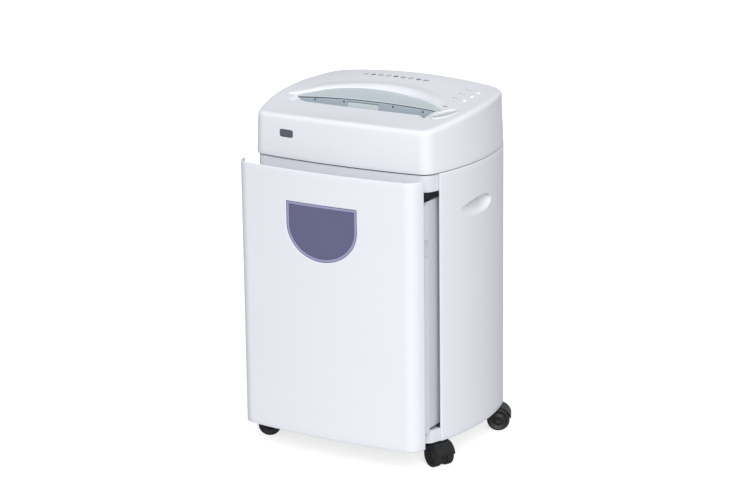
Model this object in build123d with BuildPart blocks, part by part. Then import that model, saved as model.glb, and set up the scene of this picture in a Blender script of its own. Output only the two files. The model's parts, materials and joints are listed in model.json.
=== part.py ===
"""Office paper shredder on casters, with a pull-out waste drawer.

Millimetres, +Z up, +X to the right, the front faces -Y.  Z = 0 is the floor.
The drawer stands DRAWER_OPEN out of the cabinet, and the origin is under the middle of the whole footprint.
"""
import os
from math import cos, pi, radians, sin, tan

from build123d import *

os.makedirs("parts", exist_ok=True)

# --- body -----------------------------------------------------------------------------------------
BODY_WIDTH = 376.0        # widest, across the bowed sides
SIDE_BOW = 25.0           # how far each side bulges
BODY_DEPTH = 268.0        # corner to corner, without the bowed front
FRONT_BOW = 11.0          # how far the front bulges
FRONT_CORNER = 25.0
BACK_CORNER = 38.0
WALL = 3.0                # moulded walls
FIT = 0.4                 # clearance between moulded pieces
CASTER_ROOM = 5.0         # wheels' top to the cabinet, for the hood and the swivel gap
CABINET_HEIGHT = 455.5
SEAM = 1.5                # shadow gap under the head

# --- head -----------------------------------------------------------------------------------------
CROWN_REACH = 172.0       # half width at which the crown's edge heights hold
CROWN_EDGES = (66.0, 79.5, 88.7, 88.5)   # edge heights over the head's bottom, front to back
CROWN_RISES = (7.0, -1.5, 5.0, 14.0)     # arch of the crown at the same four places
CROWN_MIDDLES = (-61.0, 42.0)            # depths of the two middle sections
CROWN_OVERHANG = 6.0                     # the end sections lie this far outside the body
MOUTH_WIDTH = 232.0
MOUTH_X = 2.0
MOUTH_FRONT = -61.0       # depth of the front lip
MOUTH_GAP = 29.0          # lip to rear guide, at the top
MOUTH_DROP = 30.0         # height of the guides' slanted walls
BROW_X = -10.0            # middle of the curved recess behind the mouth
BROW_CHORD = 286.0
BROW_DEPTH = 62.0
RAMP_HEIGHT = 85.0        # crest of the sunk, arched ramp over the head's bottom
RAMP_RADIUS = 1640.0      # of the ramp's arch across the body
RAMP_X = 8.0              # middle of the arch
MOUTH_LIP_DROP = 9.0      # front lip's guide below the ramp's crest
GUIDE_WALL = 2.5

# --- drawer ---------------------------------------------------------------------------------------
DRAWER_OPEN = 50.0        # how far it stands out
DRAWER_FRONT_DEPTH = 24.5
BIN_HALF_WIDTH = 158.0
COLLAR_HALF_WIDTH = 166.0
COLLAR_DEPTH = 48.0
BIN_WALL = 2.5
BIN_BACK = 110.0
BIN_TOP_DROP = 44.0       # bin rim below the drawer front's top
NOTCH_HEIGHT = 30.0
NOTCH_DEPTH = 12.0
NOTCH_DROP = 58.0         # notch top below the bin rim
WINDOW_WIDTH = 134.0
WINDOW_STRAIGHT = 38.0
WINDOW_ROUND = 58.0
WINDOW_DROP = 53.0        # window top below the drawer front's top
WINDOW_X = -1.0
LENS_SINK = 1.2
LENS_THICKNESS = 1.5
BEZEL_WIDTH = 6.0

# --- cabinet --------------------------------------------------------------------------------------
SIDE_FRONT = -108.0       # front edge of the side panels
BACK_PANEL_WIDTH = 240.0
RAIL_HEIGHT = 28.0
RAIL_TUCK = 8.0           # how far the rail reaches behind the side panels
DECK_THICKNESS = 3.0
BASE_FLOOR = 4.0
BASE_RIM = 22.0
RUNNER_WIDTH = 14.0
RUNNER_X = 120.0
CHUTE_DROP = 28.0
CHUTE_WALL = 2.0
CHUTE_FLANGE = 10.0
CHUTE_ROOM = 2.0          # discs' edge to the chute
SWITCH_WIDTH = 26.0
SWITCH_DEPTH = 18.0
SWITCH_RISE = 4.0         # switch's underside over the rail's
SWITCH_GAP = 1.0          # chute's flange to switch
SCOOP_LENGTH = 100.0
SCOOP_HEIGHT = 34.0
SCOOP_DEPTH = 15.0
SCOOP_Y = -11.0
SCOOP_DROP = 73.0         # scoop's middle below the cabinet's top
SCOOP_TAPER = 28.0
CUP_WALL = 2.5
CUP_FLANGE = 10.0
SCREW_RADIUS = 2.0
SCREW_HEAD_RADIUS = 3.8
SCREW_HEAD_SINK = 1.2

# --- cutting unit ---------------------------------------------------------------------------------
CUTTER_HEIGHT = 35.0      # cutter axes over the head's bottom
CUTTER_SPACING = 32.0
DISC_OVERLAP = 5.6        # how far the two rows of discs reach past each other
SPACER_GAP = 0.7          # disc edge to the other shaft's core
DISC_PITCH = 10.0
DISC_THICKNESS = 4.0
JOURNAL_RADIUS = 7.0
BUSH_RADIUS = 10.0
HEAD_SPACE = 100.0        # more than the head is high, for cuts through it
RUNNING = 0.05            # radial clearance of shafts in their holes
PLATE_THICKNESS = 4.0
CUTTER_ROOM = 4.0         # mouth's end to cutter plate
BASE_SHEET = 3.0
COMB_THICKNESS = 4.0
TIE_BAR_RADIUS = 4.0

# --- gears (module, teeth) ------------------------------------------------------------------------
CUTTER_TEETH = 16
MAIN_MODULE = 1.5
MAIN_TEETH = 40
IDLER_SMALL_TEETH = 12
FAST_MODULE = 1.0
IDLER_LARGE_TEETH = 60
PINION_TEETH = 10
PINION_BORE = 2.0
GEAR_WIDTH = 8.0
GEAR_GAP = 2.5
IDLER_ANGLE = 15.0        # of the idler, seen from the main gear
MOTOR_ANGLE = 5.0         # of the motor, seen from the idler
PIN_RADIUS = 4.0

# --- motor ----------------------------------------------------------------------------------------
MOTOR_RADIUS = 33.0
MOTOR_LENGTH = 100.0
MOTOR_SHAFT_RADIUS = 3.0
FAN_RADIUS = 26.0
FAN_WIDTH = 12.0
CAPACITOR_RADIUS = 15.0
CAPACITOR_LENGTH = 60.0

# --- controls -------------------------------------------------------------------------------------
BUTTON_X = 145.0
BUTTON_YS = (25.0, 48.0, 71.0)
BUTTON_NAMES = ("power_button", "forward_button", "reverse_button")
BUTTON_LENGTH = 9.0
BUTTON_WIDTH = 6.0
BUTTON_PROUD = 1.4
BUTTON_TRAVEL = 1.0
BUTTON_CLEARANCE = 0.35
LENS_X = 128.0
LENS_RADIUS = 1.6
ROCKER_X = 147.0
ROCKER_Y = -48.0
ROCKER_TURN = 66.0        # its long axis, from +X towards +Y
ROCKER_LENGTH = 50.0
ROCKER_WIDTH = 22.0
ROCKER_CLEARANCE = 0.5
ROCKER_HEIGHT = 81.0      # bezel's rim over the head's bottom
ROCKER_SLOPE = 8.0        # the crown's slope there, rising to the back
ROCKER_SINK = 2.0         # rocker's top below the bezel's rim
ROCKER_THICKNESS = 6.0
ROCKER_DISH = 29.0        # radius of the finger dish
ROCKER_DISH_DEPTH = 3.0
ROCKER_PIN_RADIUS = 1.4
ROCKER_PIN_DROP = 6.2     # pivot below the bezel's rim
BEZEL_DEPTH = 12.0
BEZEL_FLOOR = 2.0
BEZEL_RIM = 3.0
FLAP_WIDTH = 60.0
FLAP_HEIGHT = 14.0
FLAP_THICKNESS = 1.6
FLAP_TOP_DROP = 7.0       # flap's top below the ramp's crest
GUIDE_SCREW_DROP = 8.0
END_SCREW_INSETS = (9.5, 19.5)      # outer guide screws from the mouth's two ends
FLAP_SCREW_GAPS = (6.5, 27.5)       # inner guide screws from the flap's two ends
GUIDE_SCREW_RADIUS = 1.0
GUIDE_SCREW_PROUD = 1.2   # heads before the guide's upper edge
FLAP_X = -16.0
BOARD_THICKNESS = 1.6
BOARD_WIDTH = 44.0
BOARD_MARGIN = 13.0       # past the outer buttons
BOARD_RISE = 2.0          # over the crown's front edge, so well below the deck above it
POST_RADIUS = 3.0
LENS_SHIFT = 5.0          # each indicator lies this far behind its button
INLET_X = 95.0
INLET_WIDTH = 28.0
INLET_HEIGHT = 20.0
INLET_DEPTH = 22.0
INLET_HEIGHT_UP = 22.0     # middle of the inlet over the head's bottom
VENT_COUNT = 14
VENT_PITCH = 7.0
VENT_WIDTH = 3.0
VENT_HEIGHT = 32.0
VENT_X = -30.0
VENT_HEIGHT_UP = 46.0

# --- casters --------------------------------------------------------------------------------------
STEM_X = 150.0
STEM_Y = 96.5
TRAIL = 17.5
TRAIL_TURN = 27.0         # trail direction, from +-X towards +-Y
WHEEL_RADIUS = 19.5
WHEEL_WIDTH = 13.0
WHEEL_SPACE = 10.0        # between the two wheels of one caster
AXLE_RADIUS = 3.0
STEM_RADIUS = 5.0
STEM_LENGTH = 14.0
SOCKET_WALL = 3.0
HOOD_GAP = 1.0
HOOD_WALL = 2.0
HOOD_SKIRT = 4.0          # hood's lower edge over the axle
STEM_GAP = 0.6            # fork to base

# --- derived places -------------------------------------------------------------------------------
HALF_DEPTH = BODY_DEPTH / 2
MID_Y = (DRAWER_OPEN + FRONT_BOW) / 2
CASTER_HEIGHT = 2 * WHEEL_RADIUS + CASTER_ROOM
CABINET_BOTTOM = CASTER_HEIGHT
CABINET_TOP = CABINET_BOTTOM + CABINET_HEIGHT
HEAD_BOTTOM = CABINET_TOP + SEAM
DECK_TOP = CABINET_TOP - 1.0
HEAD_BASE_TOP = DECK_TOP + BASE_SHEET
DRAWER_TOP = CABINET_TOP - 1.5
DRAWER_BOTTOM = CABINET_BOTTOM + 1.5
BASE_RIM_TOP = CABINET_BOTTOM + BASE_RIM
RUNNER_TOP = BASE_RIM_TOP + 2.0
BIN_BOTTOM = RUNNER_TOP + FIT
BIN_TOP = DRAWER_TOP - BIN_TOP_DROP
DISC_RADIUS = (CUTTER_SPACING + DISC_OVERLAP) / 2
SPACER_RADIUS = CUTTER_SPACING - DISC_RADIUS - SPACER_GAP
CUT_Z = HEAD_BOTTOM + CUTTER_HEIGHT
CUT_Y = MOUTH_FRONT + MOUTH_GAP / 2
FRONT_CUT_Y = CUT_Y - CUTTER_SPACING / 2
REAR_CUT_Y = CUT_Y + CUTTER_SPACING / 2
PLATE_X = MOUTH_WIDTH / 2 + CUTTER_ROOM           # inner face of a cutter plate, from the mouth's middle
LEFT_PLATE_X = MOUTH_X - PLATE_X - PLATE_THICKNESS
RIGHT_PLATE_X = MOUTH_X + PLATE_X
CUTTER_GEAR_X = LEFT_PLATE_X - GEAR_GAP - GEAR_WIDTH
MAIN_GEAR_X = CUTTER_GEAR_X - GEAR_GAP - GEAR_WIDTH
FAST_GEAR_X = MAIN_GEAR_X - GEAR_GAP - GEAR_WIDTH
GEAR_PLATE_X = FAST_GEAR_X - GEAR_GAP - PLATE_THICKNESS
CUTTER_MODULE = CUTTER_SPACING / CUTTER_TEETH
IDLER_REACH = MAIN_MODULE * (MAIN_TEETH + IDLER_SMALL_TEETH) / 2
MOTOR_REACH = FAST_MODULE * (IDLER_LARGE_TEETH + PINION_TEETH) / 2
IDLER_Y = REAR_CUT_Y + IDLER_REACH * cos(radians(IDLER_ANGLE))
IDLER_Z = CUT_Z + IDLER_REACH * sin(radians(IDLER_ANGLE))
MOTOR_Y = IDLER_Y + MOTOR_REACH * cos(radians(MOTOR_ANGLE))
MOTOR_Z = IDLER_Z + MOTOR_REACH * sin(radians(MOTOR_ANGLE))
MOTOR_X = LEFT_PLATE_X + PLATE_THICKNESS + 6.0    # driven end of the motor's can
RAMP_FRONT = MOUTH_FRONT + MOUTH_GAP
RAMP_Z = HEAD_BOTTOM + RAMP_HEIGHT
BROW_RADIUS = ((BROW_CHORD / 2) ** 2 + BROW_DEPTH ** 2) / (2 * BROW_DEPTH)
FRONT_GUIDE_Z = RAMP_Z - MOUTH_LIP_DROP
SCOOP_Z = CABINET_TOP - SCOOP_DROP
INLET_Z = HEAD_BOTTOM + INLET_HEIGHT_UP
VENT_Z = HEAD_BOTTOM + VENT_HEIGHT_UP


# --- planes: depths and heights are measured from the body's middle and the floor -------------------
def level(height, shift=0.0):
    """Flat plane at a height, looking up."""
    return Plane(origin=(0, MID_Y + shift, height))


def upright(depth):
    """Upright plane looking to the front: its x is +X and its y is +Z."""
    return Plane(origin=(0, MID_Y + depth, 0), x_dir=(1, 0, 0), z_dir=(0, -1, 0))


def sideways(x):
    """Upright plane looking to the right: its x is +Y and its y is +Z."""
    return Plane(origin=(x, MID_Y, 0), x_dir=(0, 1, 0), z_dir=(1, 0, 0))


# --- shapes that several pieces share ---------------------------------------------------------------
def body_outline(inset=0.0):
    """Plan of the body: bowed front and sides, flat back, rounded corners, all moved in by inset."""
    half_chord = BODY_WIDTH / 2 - SIDE_BOW
    front_radius = (half_chord ** 2 + FRONT_BOW ** 2) / (2 * FRONT_BOW)
    side_radius = (HALF_DEPTH ** 2 + SIDE_BOW ** 2) / (2 * SIDE_BOW)
    with BuildSketch() as plan:
        with Locations((0, front_radius - HALF_DEPTH - FRONT_BOW)):
            Circle(front_radius - inset)
        with Locations((side_radius - BODY_WIDTH / 2, 0)):
            Circle(side_radius - inset, mode=Mode.INTERSECT)
        with Locations((BODY_WIDTH / 2 - side_radius, 0)):
            Circle(side_radius - inset, mode=Mode.INTERSECT)
        with Locations((0, HALF_DEPTH - inset)):
            Rectangle(BODY_WIDTH, 2 * BODY_DEPTH, align=(Align.CENTER, Align.MAX), mode=Mode.INTERSECT)
        fillet(plan.vertices().group_by(Axis.Y)[0], FRONT_CORNER - inset)
        fillet(plan.vertices().group_by(Axis.Y)[-1], BACK_CORNER - inset)
    return plan.sketch


def wall_slice(outer_inset, inner_inset, front, back, left=-BODY_WIDTH, right=BODY_WIDTH):
    """Plan of a thin wall: the ring between two insets of the outline, cut to a box."""
    with BuildSketch() as ring:
        add(body_outline(outer_inset))
        add(body_outline(inner_inset), mode=Mode.SUBTRACT)
        with Locations(((left + right) / 2, (front + back) / 2)):
            Rectangle(right - left, back - front, mode=Mode.INTERSECT)
    return ring.sketch


def crown(drop=0.0):
    """Everything under the head's arched top, lowered by drop."""
    reach = BODY_WIDTH / 2 + 20.0
    depths = (-HALF_DEPTH - FRONT_BOW - CROWN_OVERHANG, *CROWN_MIDDLES, HALF_DEPTH + CROWN_OVERHANG)
    with BuildPart() as under:
        for depth, edge, rise in zip(depths, CROWN_EDGES, CROWN_RISES):
            side = HEAD_BOTTOM + edge + rise - rise * (reach / CROWN_REACH) ** 2 - drop
            with BuildSketch(upright(depth)):
                with BuildLine():
                    ThreePointArc((-reach, side), (0, HEAD_BOTTOM + edge + rise - drop), (reach, side))
                    Polyline((reach, side), (reach, CABINET_TOP), (-reach, CABINET_TOP), (-reach, side))
                make_face()
        loft()
    return under.part


def brow_outline(grow=0.0):
    """Plan of the sunk ramp behind the mouth: a segment of a circle on the mouth's rear edge."""
    with BuildSketch() as segment:
        with Locations((BROW_X, RAMP_FRONT + BROW_DEPTH - BROW_RADIUS)):
            Circle(BROW_RADIUS + grow)
        with Locations((BROW_X, RAMP_FRONT + BROW_DEPTH / 2)):
            Rectangle(2 * BROW_RADIUS, BROW_DEPTH + 2 * grow, mode=Mode.INTERSECT)
    return segment.sketch


def window_outline(grow=0.0):
    """The D: straight top and sides, half an ellipse below."""
    top = DRAWER_TOP - WINDOW_DROP + grow
    half = WINDOW_WIDTH / 2 + grow
    waist = DRAWER_TOP - WINDOW_DROP - WINDOW_STRAIGHT
    with BuildSketch() as shape:
        with Locations((WINDOW_X, waist)):
            Ellipse(half, WINDOW_ROUND + grow)
        with Locations((WINDOW_X, waist + WINDOW_ROUND)):
            Rectangle(3 * half, 2 * WINDOW_ROUND, mode=Mode.SUBTRACT)
        with Locations((WINDOW_X, (waist + top) / 2)):
            Rectangle(2 * half, top - waist)
    return shape.sketch


def gear_outline(teeth, module, tooth_angle):
    """A spur gear with straight-flanked teeth, one of them pointing along tooth_angle."""
    pitch_radius = teeth * module / 2
    tip = pitch_radius + 0.75 * module
    root = pitch_radius - 1.2 * module
    backlash = 0.12 * module
    tip_half = pi * module / 4 - backlash - 0.75 * module * tan(radians(20))
    root_half = pi * module / 4 - backlash + 1.2 * module * tan(radians(20))
    with BuildSketch() as gear:
        Circle(root)
        with PolarLocations(0, teeth, start_angle=tooth_angle):
            Polygon(
                (root - 0.4 * module, -root_half), (tip, -tip_half), (tip, tip_half),
                (root - 0.4 * module, root_half), align=None,
            )
    return gear.sketch


def opposite_gap(tooth_angle, teeth):
    """Tooth angle of a mating gear whose gap faces a tooth at tooth_angle."""
    return tooth_angle + 180 + 180 / teeth


CROWN = crown()

# === cabinet ========================================================================================
stem_places = [(side_x * STEM_X, side_y * STEM_Y) for side_x in (-1, 1) for side_y in (-1, 1)]
back_screw_x = BACK_PANEL_WIDTH / 2 - 12
back_screw_rows = (CABINET_BOTTOM + BASE_RIM - 8, (CABINET_BOTTOM + CABINET_TOP) / 2, CABINET_TOP - 20)
back_screw_places = [(x, z) for x in (-back_screw_x, back_screw_x) for z in back_screw_rows]
base_outline = body_outline(WALL + FIT)
base_inner = body_outline(2 * WALL + FIT)

with BuildPart() as base_tray:
    with BuildSketch(level(CABINET_BOTTOM)):
        add(base_outline)
    extrude(amount=BASE_RIM)
    with BuildSketch(level(CABINET_BOTTOM + BASE_FLOOR)):
        add(base_inner)
    extrude(amount=BASE_RIM, mode=Mode.SUBTRACT)
    with BuildSketch(level(CABINET_BOTTOM)):
        with Locations(*stem_places):
            Circle(STEM_RADIUS + SOCKET_WALL)
    extrude(amount=STEM_LENGTH + SOCKET_WALL)
    with BuildSketch(level(CABINET_BOTTOM)):
        with Locations(*stem_places):
            Circle(STEM_RADIUS + RUNNING)
    extrude(amount=STEM_LENGTH, mode=Mode.SUBTRACT)
    with BuildSketch(upright(HALF_DEPTH)):
        with Locations(*back_screw_places):
            Circle(SCREW_RADIUS)
    extrude(amount=4 * WALL, mode=Mode.SUBTRACT)
base_tray.part.label = "base_tray"
export_step(base_tray.part, "parts/base_tray.step")

for side_name, side in (("left", -1), ("right", 1)):
    runner_x = side * RUNNER_X
    with BuildPart() as runner:
        with BuildSketch(level(CABINET_BOTTOM + BASE_FLOOR)):
            with Locations((runner_x, 0)):
                Rectangle(RUNNER_WIDTH, BODY_DEPTH - 2 * BACK_CORNER)
        extrude(amount=RUNNER_TOP - CABINET_BOTTOM - BASE_FLOOR)
        with BuildSketch(level(CABINET_BOTTOM + BASE_FLOOR)):
            with Locations((runner_x, 0)):
                Rectangle(RUNNER_WIDTH - 2 * WALL, BODY_DEPTH - 2 * BACK_CORNER - 2 * WALL)
        extrude(amount=RUNNER_TOP - CABINET_BOTTOM - BASE_FLOOR - WALL, mode=Mode.SUBTRACT)
    runner.part.label = f"runner_{side_name}"
    export_step(runner.part, f"parts/runner_{side_name}.step")

    low_x, high_x = (-BODY_WIDTH, 0) if side < 0 else (0, BODY_WIDTH)
    panel_wall = wall_slice(0, WALL, SIDE_FRONT, BODY_DEPTH, low_x, high_x)
    with BuildPart() as side_panel:
        with BuildSketch(level(CABINET_BOTTOM)):
            add(panel_wall)
            with Locations((0, HALF_DEPTH)):
                Rectangle(BACK_PANEL_WIDTH, 4 * WALL, mode=Mode.SUBTRACT)
        extrude(amount=CABINET_HEIGHT)
        with BuildSketch(sideways(side * (BODY_WIDTH / 2 - 4 * WALL))):
            with Locations((SCOOP_Y, SCOOP_Z)):
                Ellipse(SCOOP_LENGTH / 2, SCOOP_HEIGHT / 2)
        extrude(amount=side * 6 * WALL, mode=Mode.SUBTRACT)
    side_panel.part.label = f"side_panel_{side_name}"
    export_step(side_panel.part, f"parts/side_panel_{side_name}.step")

    flange_front = SCOOP_Y - SCOOP_LENGTH / 2 - CUP_FLANGE
    flange_back = SCOOP_Y + SCOOP_LENGTH / 2 + CUP_FLANGE
    flange_wall = wall_slice(WALL, WALL + CUP_WALL, flange_front, flange_back, low_x, high_x)
    inside_panel = body_outline(WALL)
    flange_bottom = SCOOP_Z - SCOOP_HEIGHT / 2 - CUP_FLANGE
    flange_height = SCOOP_HEIGHT + 2 * CUP_FLANGE
    with BuildPart() as handle_cup:
        with BuildSketch(sideways(side * BODY_WIDTH / 2)):
            with Locations((SCOOP_Y, SCOOP_Z)):
                Ellipse(SCOOP_LENGTH / 2 + CUP_WALL, SCOOP_HEIGHT / 2 + CUP_WALL)
        extrude(amount=-side * (SCOOP_DEPTH + CUP_WALL), taper=SCOOP_TAPER)
        with BuildSketch(level(flange_bottom)):
            add(inside_panel)
        extrude(amount=flange_height, mode=Mode.INTERSECT)
        with BuildSketch(level(flange_bottom)):
            add(flange_wall)
        extrude(amount=flange_height)
        with BuildSketch(sideways(side * BODY_WIDTH / 2)):
            with Locations((SCOOP_Y, SCOOP_Z)):
                Ellipse(SCOOP_LENGTH / 2, SCOOP_HEIGHT / 2)
        extrude(amount=-side * SCOOP_DEPTH, taper=SCOOP_TAPER, mode=Mode.SUBTRACT)
    handle_cup.part.label = f"handle_cup_{side_name}"
    export_step(handle_cup.part, f"parts/handle_cup_{side_name}.step")

with BuildPart() as back_panel:
    with BuildSketch(upright(HALF_DEPTH)):
        with Locations((0, (CABINET_BOTTOM + CABINET_TOP) / 2)):
            Rectangle(BACK_PANEL_WIDTH - 2 * FIT, CABINET_HEIGHT)
    extrude(amount=WALL)
    with BuildSketch(upright(HALF_DEPTH)):
        with Locations(*back_screw_places):
            Circle(SCREW_HEAD_RADIUS + FIT)
    extrude(amount=SCREW_HEAD_SINK, mode=Mode.SUBTRACT)
    with BuildSketch(upright(HALF_DEPTH)):
        with Locations(*back_screw_places):
            Circle(SCREW_RADIUS + FIT)
    extrude(amount=2 * WALL, mode=Mode.SUBTRACT)
back_panel.part.label = "back_panel"
export_step(back_panel.part, "parts/back_panel.step")

with BuildPart() as back_screws:
    with BuildSketch(upright(HALF_DEPTH)):
        with Locations(*back_screw_places):
            Circle(SCREW_HEAD_RADIUS)
    extrude(amount=SCREW_HEAD_SINK)
    with BuildSketch(upright(HALF_DEPTH)):
        with Locations(*back_screw_places):
            Circle(SCREW_RADIUS)
    extrude(amount=12)
    with BuildSketch(upright(HALF_DEPTH)):
        with Locations(*back_screw_places):
            Rectangle(5.0, 0.9)
            Rectangle(0.9, 5.0)
    extrude(amount=0.8, mode=Mode.SUBTRACT)
back_screws.part.label = "back_screws"
export_step(back_screws.part, "parts/back_screws.step")

rail_wall = wall_slice(WALL + FIT, 2 * WALL + FIT, -BODY_DEPTH, SIDE_FRONT + RAIL_TUCK)
rail_bottom = DECK_TOP - RAIL_HEIGHT
with BuildPart() as front_rail:
    with BuildSketch(level(rail_bottom)):
        add(rail_wall)
    extrude(amount=RAIL_HEIGHT)
front_rail.part.label = "front_rail"
export_step(front_rail.part, "parts/front_rail.step")

chute_length = MOUTH_WIDTH + 2 * CUTTER_ROOM
chute_depth = CUTTER_SPACING + 2 * DISC_RADIUS + 2 * CHUTE_ROOM
deck_outline = body_outline(2 * WALL + 2 * FIT)
with BuildPart() as cabinet_deck:
    with BuildSketch(level(DECK_TOP - DECK_THICKNESS)):
        add(deck_outline)
        with Locations((MOUTH_X, CUT_Y)):
            RectangleRounded(chute_length, chute_depth, 4, mode=Mode.SUBTRACT)
    extrude(amount=DECK_THICKNESS)
cabinet_deck.part.label = "cabinet_deck"
export_step(cabinet_deck.part, "parts/cabinet_deck.step")

with BuildPart() as shred_chute:
    with BuildSketch(level(DECK_TOP - DECK_THICKNESS)):
        with Locations((MOUTH_X, CUT_Y)):
            RectangleRounded(chute_length + 2 * CHUTE_FLANGE, chute_depth + 2 * CHUTE_FLANGE, 6)
            RectangleRounded(chute_length, chute_depth, 4, mode=Mode.SUBTRACT)
    extrude(amount=-CHUTE_WALL)
    with BuildSketch(level(DECK_TOP - DECK_THICKNESS)):
        with Locations((MOUTH_X, CUT_Y)):
            RectangleRounded(chute_length + 2 * CHUTE_WALL, chute_depth + 2 * CHUTE_WALL, 6)
            RectangleRounded(chute_length, chute_depth, 4, mode=Mode.SUBTRACT)
    extrude(amount=-CHUTE_DROP)
shred_chute.part.label = "shred_chute"
export_step(shred_chute.part, "parts/shred_chute.step")

switch_x = MOUTH_X + chute_length / 2 + CHUTE_FLANGE + SWITCH_GAP + SWITCH_WIDTH / 2
switch_y = SIDE_FRONT + 6
switch_bottom = rail_bottom + SWITCH_RISE
with BuildPart() as door_switch:
    with BuildSketch(level(switch_bottom)):
        with Locations((switch_x, switch_y)):
            Rectangle(SWITCH_WIDTH, SWITCH_DEPTH)
    extrude(amount=DECK_TOP - DECK_THICKNESS - switch_bottom)
    with BuildSketch(level(switch_bottom)):
        with Locations((switch_x + 7, switch_y)):
            Rectangle(3, 20)
    extrude(amount=-8)
door_switch.part.label = "door_switch"
export_step(door_switch.part, "parts/door_switch.step")

# === drawer: drawn closed, and placed DRAWER_OPEN further out =======================================
drawer_shift = -DRAWER_OPEN
drawer_face = -HALF_DEPTH - FRONT_BOW - DRAWER_OPEN
front_end = -HALF_DEPTH + DRAWER_FRONT_DEPTH
front_wall = wall_slice(0, WALL, -BODY_DEPTH, front_end)
window_hole = window_outline()

with BuildPart() as drawer_front:
    with BuildSketch(level(DRAWER_BOTTOM, drawer_shift)):
        add(front_wall)
    extrude(amount=DRAWER_TOP - DRAWER_BOTTOM)
    with BuildSketch(upright(drawer_face - 5)):
        add(window_hole)
    extrude(amount=-2 * FRONT_CORNER, mode=Mode.SUBTRACT)
drawer_front.part.label = "drawer_front"
export_step(drawer_front.part, "parts/drawer_front.step")

lens_wall = wall_slice(LENS_SINK, LENS_SINK + LENS_THICKNESS, -BODY_DEPTH, front_end)
lens_shape = window_outline(-FIT)
with BuildPart() as window_lens:
    with BuildSketch(level(DRAWER_BOTTOM, drawer_shift)):
        add(lens_wall)
    extrude(amount=DRAWER_TOP - DRAWER_BOTTOM)
    with BuildSketch(upright(drawer_face - 5)):
        add(lens_shape)
    extrude(amount=-2 * FRONT_CORNER, mode=Mode.INTERSECT)
window_lens.part.label = "window_lens"
export_step(window_lens.part, "parts/window_lens.step")

bin_front_wall = WALL + 2.0
bezel_wall = wall_slice(WALL, bin_front_wall, -BODY_DEPTH, front_end)
bezel_outer = window_outline(BEZEL_WIDTH)
bezel_inner = window_outline(-1.5)
with BuildPart() as window_bezel:
    with BuildSketch(level(DRAWER_BOTTOM, drawer_shift)):
        add(bezel_wall)
    extrude(amount=DRAWER_TOP - DRAWER_BOTTOM)
    with BuildSketch(upright(drawer_face - 5)):
        add(bezel_outer)
    extrude(amount=-2 * FRONT_CORNER, mode=Mode.INTERSECT)
    with BuildSketch(upright(drawer_face - 5)):
        add(bezel_inner)
    extrude(amount=-2 * FRONT_CORNER, mode=Mode.SUBTRACT)
window_bezel.part.label = "window_bezel"
export_step(window_bezel.part, "parts/window_bezel.step")

bin_plan = body_outline(bin_front_wall)
bin_inner_plan = body_outline(bin_front_wall + BIN_WALL)
collar_back = -HALF_DEPTH + COLLAR_DEPTH
bin_hole = window_outline(BEZEL_WIDTH + 1)
notch_z = BIN_TOP - NOTCH_DROP - NOTCH_HEIGHT / 2
with BuildPart() as waste_bin:
    with BuildSketch(level(BIN_BOTTOM, drawer_shift)):
        with Locations((0, (collar_back - BODY_DEPTH) / 2)):
            Rectangle(2 * COLLAR_HALF_WIDTH, collar_back + BODY_DEPTH)
        with Locations((0, (BIN_BACK - BODY_DEPTH) / 2)):
            Rectangle(2 * BIN_HALF_WIDTH, BIN_BACK + BODY_DEPTH)
        add(bin_plan, mode=Mode.INTERSECT)
    extrude(amount=BIN_TOP - BIN_BOTTOM)
    with BuildSketch(level(BIN_BOTTOM + BIN_WALL, drawer_shift)):
        with Locations((0, (collar_back - BIN_WALL - BODY_DEPTH) / 2)):
            Rectangle(2 * COLLAR_HALF_WIDTH - 2 * BIN_WALL, collar_back - BIN_WALL + BODY_DEPTH)
        with Locations((0, (BIN_BACK - BIN_WALL - BODY_DEPTH) / 2)):
            Rectangle(2 * BIN_HALF_WIDTH - 2 * BIN_WALL, BIN_BACK - BIN_WALL + BODY_DEPTH)
        add(bin_inner_plan, mode=Mode.INTERSECT)
    extrude(amount=BIN_TOP - BIN_BOTTOM, mode=Mode.SUBTRACT)
    with BuildSketch(upright(drawer_face - 5)):
        add(bin_hole)
    extrude(amount=-2 * FRONT_CORNER, mode=Mode.SUBTRACT)
    with BuildSketch(level(notch_z - NOTCH_HEIGHT / 2, drawer_shift)):
        with Locations((-COLLAR_HALF_WIDTH, collar_back), (COLLAR_HALF_WIDTH, collar_back)):
            Rectangle(4 * BIN_WALL, 2 * NOTCH_DEPTH)
    extrude(amount=NOTCH_HEIGHT, mode=Mode.SUBTRACT)
waste_bin.part.label = "waste_bin"
export_step(waste_bin.part, "parts/waste_bin.step")

magnet_z = BIN_TOP + 2.0
magnet_wall = wall_slice(WALL, WALL + 8, -BODY_DEPTH, front_end, switch_x - 30, switch_x - 10)
with BuildPart() as door_magnet:
    with BuildSketch(level(magnet_z, drawer_shift)):
        add(magnet_wall)
    extrude(amount=12)
door_magnet.part.label = "door_magnet"
export_step(door_magnet.part, "parts/door_magnet.step")

# === head ===========================================================================================
# --- cover: a shell under the crown, with the mouth, the ramp, the controls, the inlet and the vents
cover_outer = body_outline()
cover_inner = body_outline(WALL)
inner_crown = crown(WALL)
rocker_spot = (ROCKER_X, ROCKER_Y)
button_spots = [(BUTTON_X, y) for y in BUTTON_YS]
button_hole_length = BUTTON_LENGTH + 2 * BUTTON_CLEARANCE
button_hole_width = BUTTON_WIDTH + 2 * BUTTON_CLEARANCE
lens_spots = [(LENS_X, y + LENS_SHIFT) for y in BUTTON_YS]
board_x = (BUTTON_X + LENS_X) / 2
board_y = sum(BUTTON_YS) / len(BUTTON_YS)
board_depth = BUTTON_YS[-1] - BUTTON_YS[0] + 2 * BOARD_MARGIN
board_z = HEAD_BOTTOM + CROWN_EDGES[0] + BOARD_RISE
post_spots = [
    (board_x + side_x * (BOARD_WIDTH / 2 - POST_RADIUS), board_y + side_y * (board_depth / 2 - POST_RADIUS))
    for side_x in (-1, 1) for side_y in (-1, 1)
]

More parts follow.
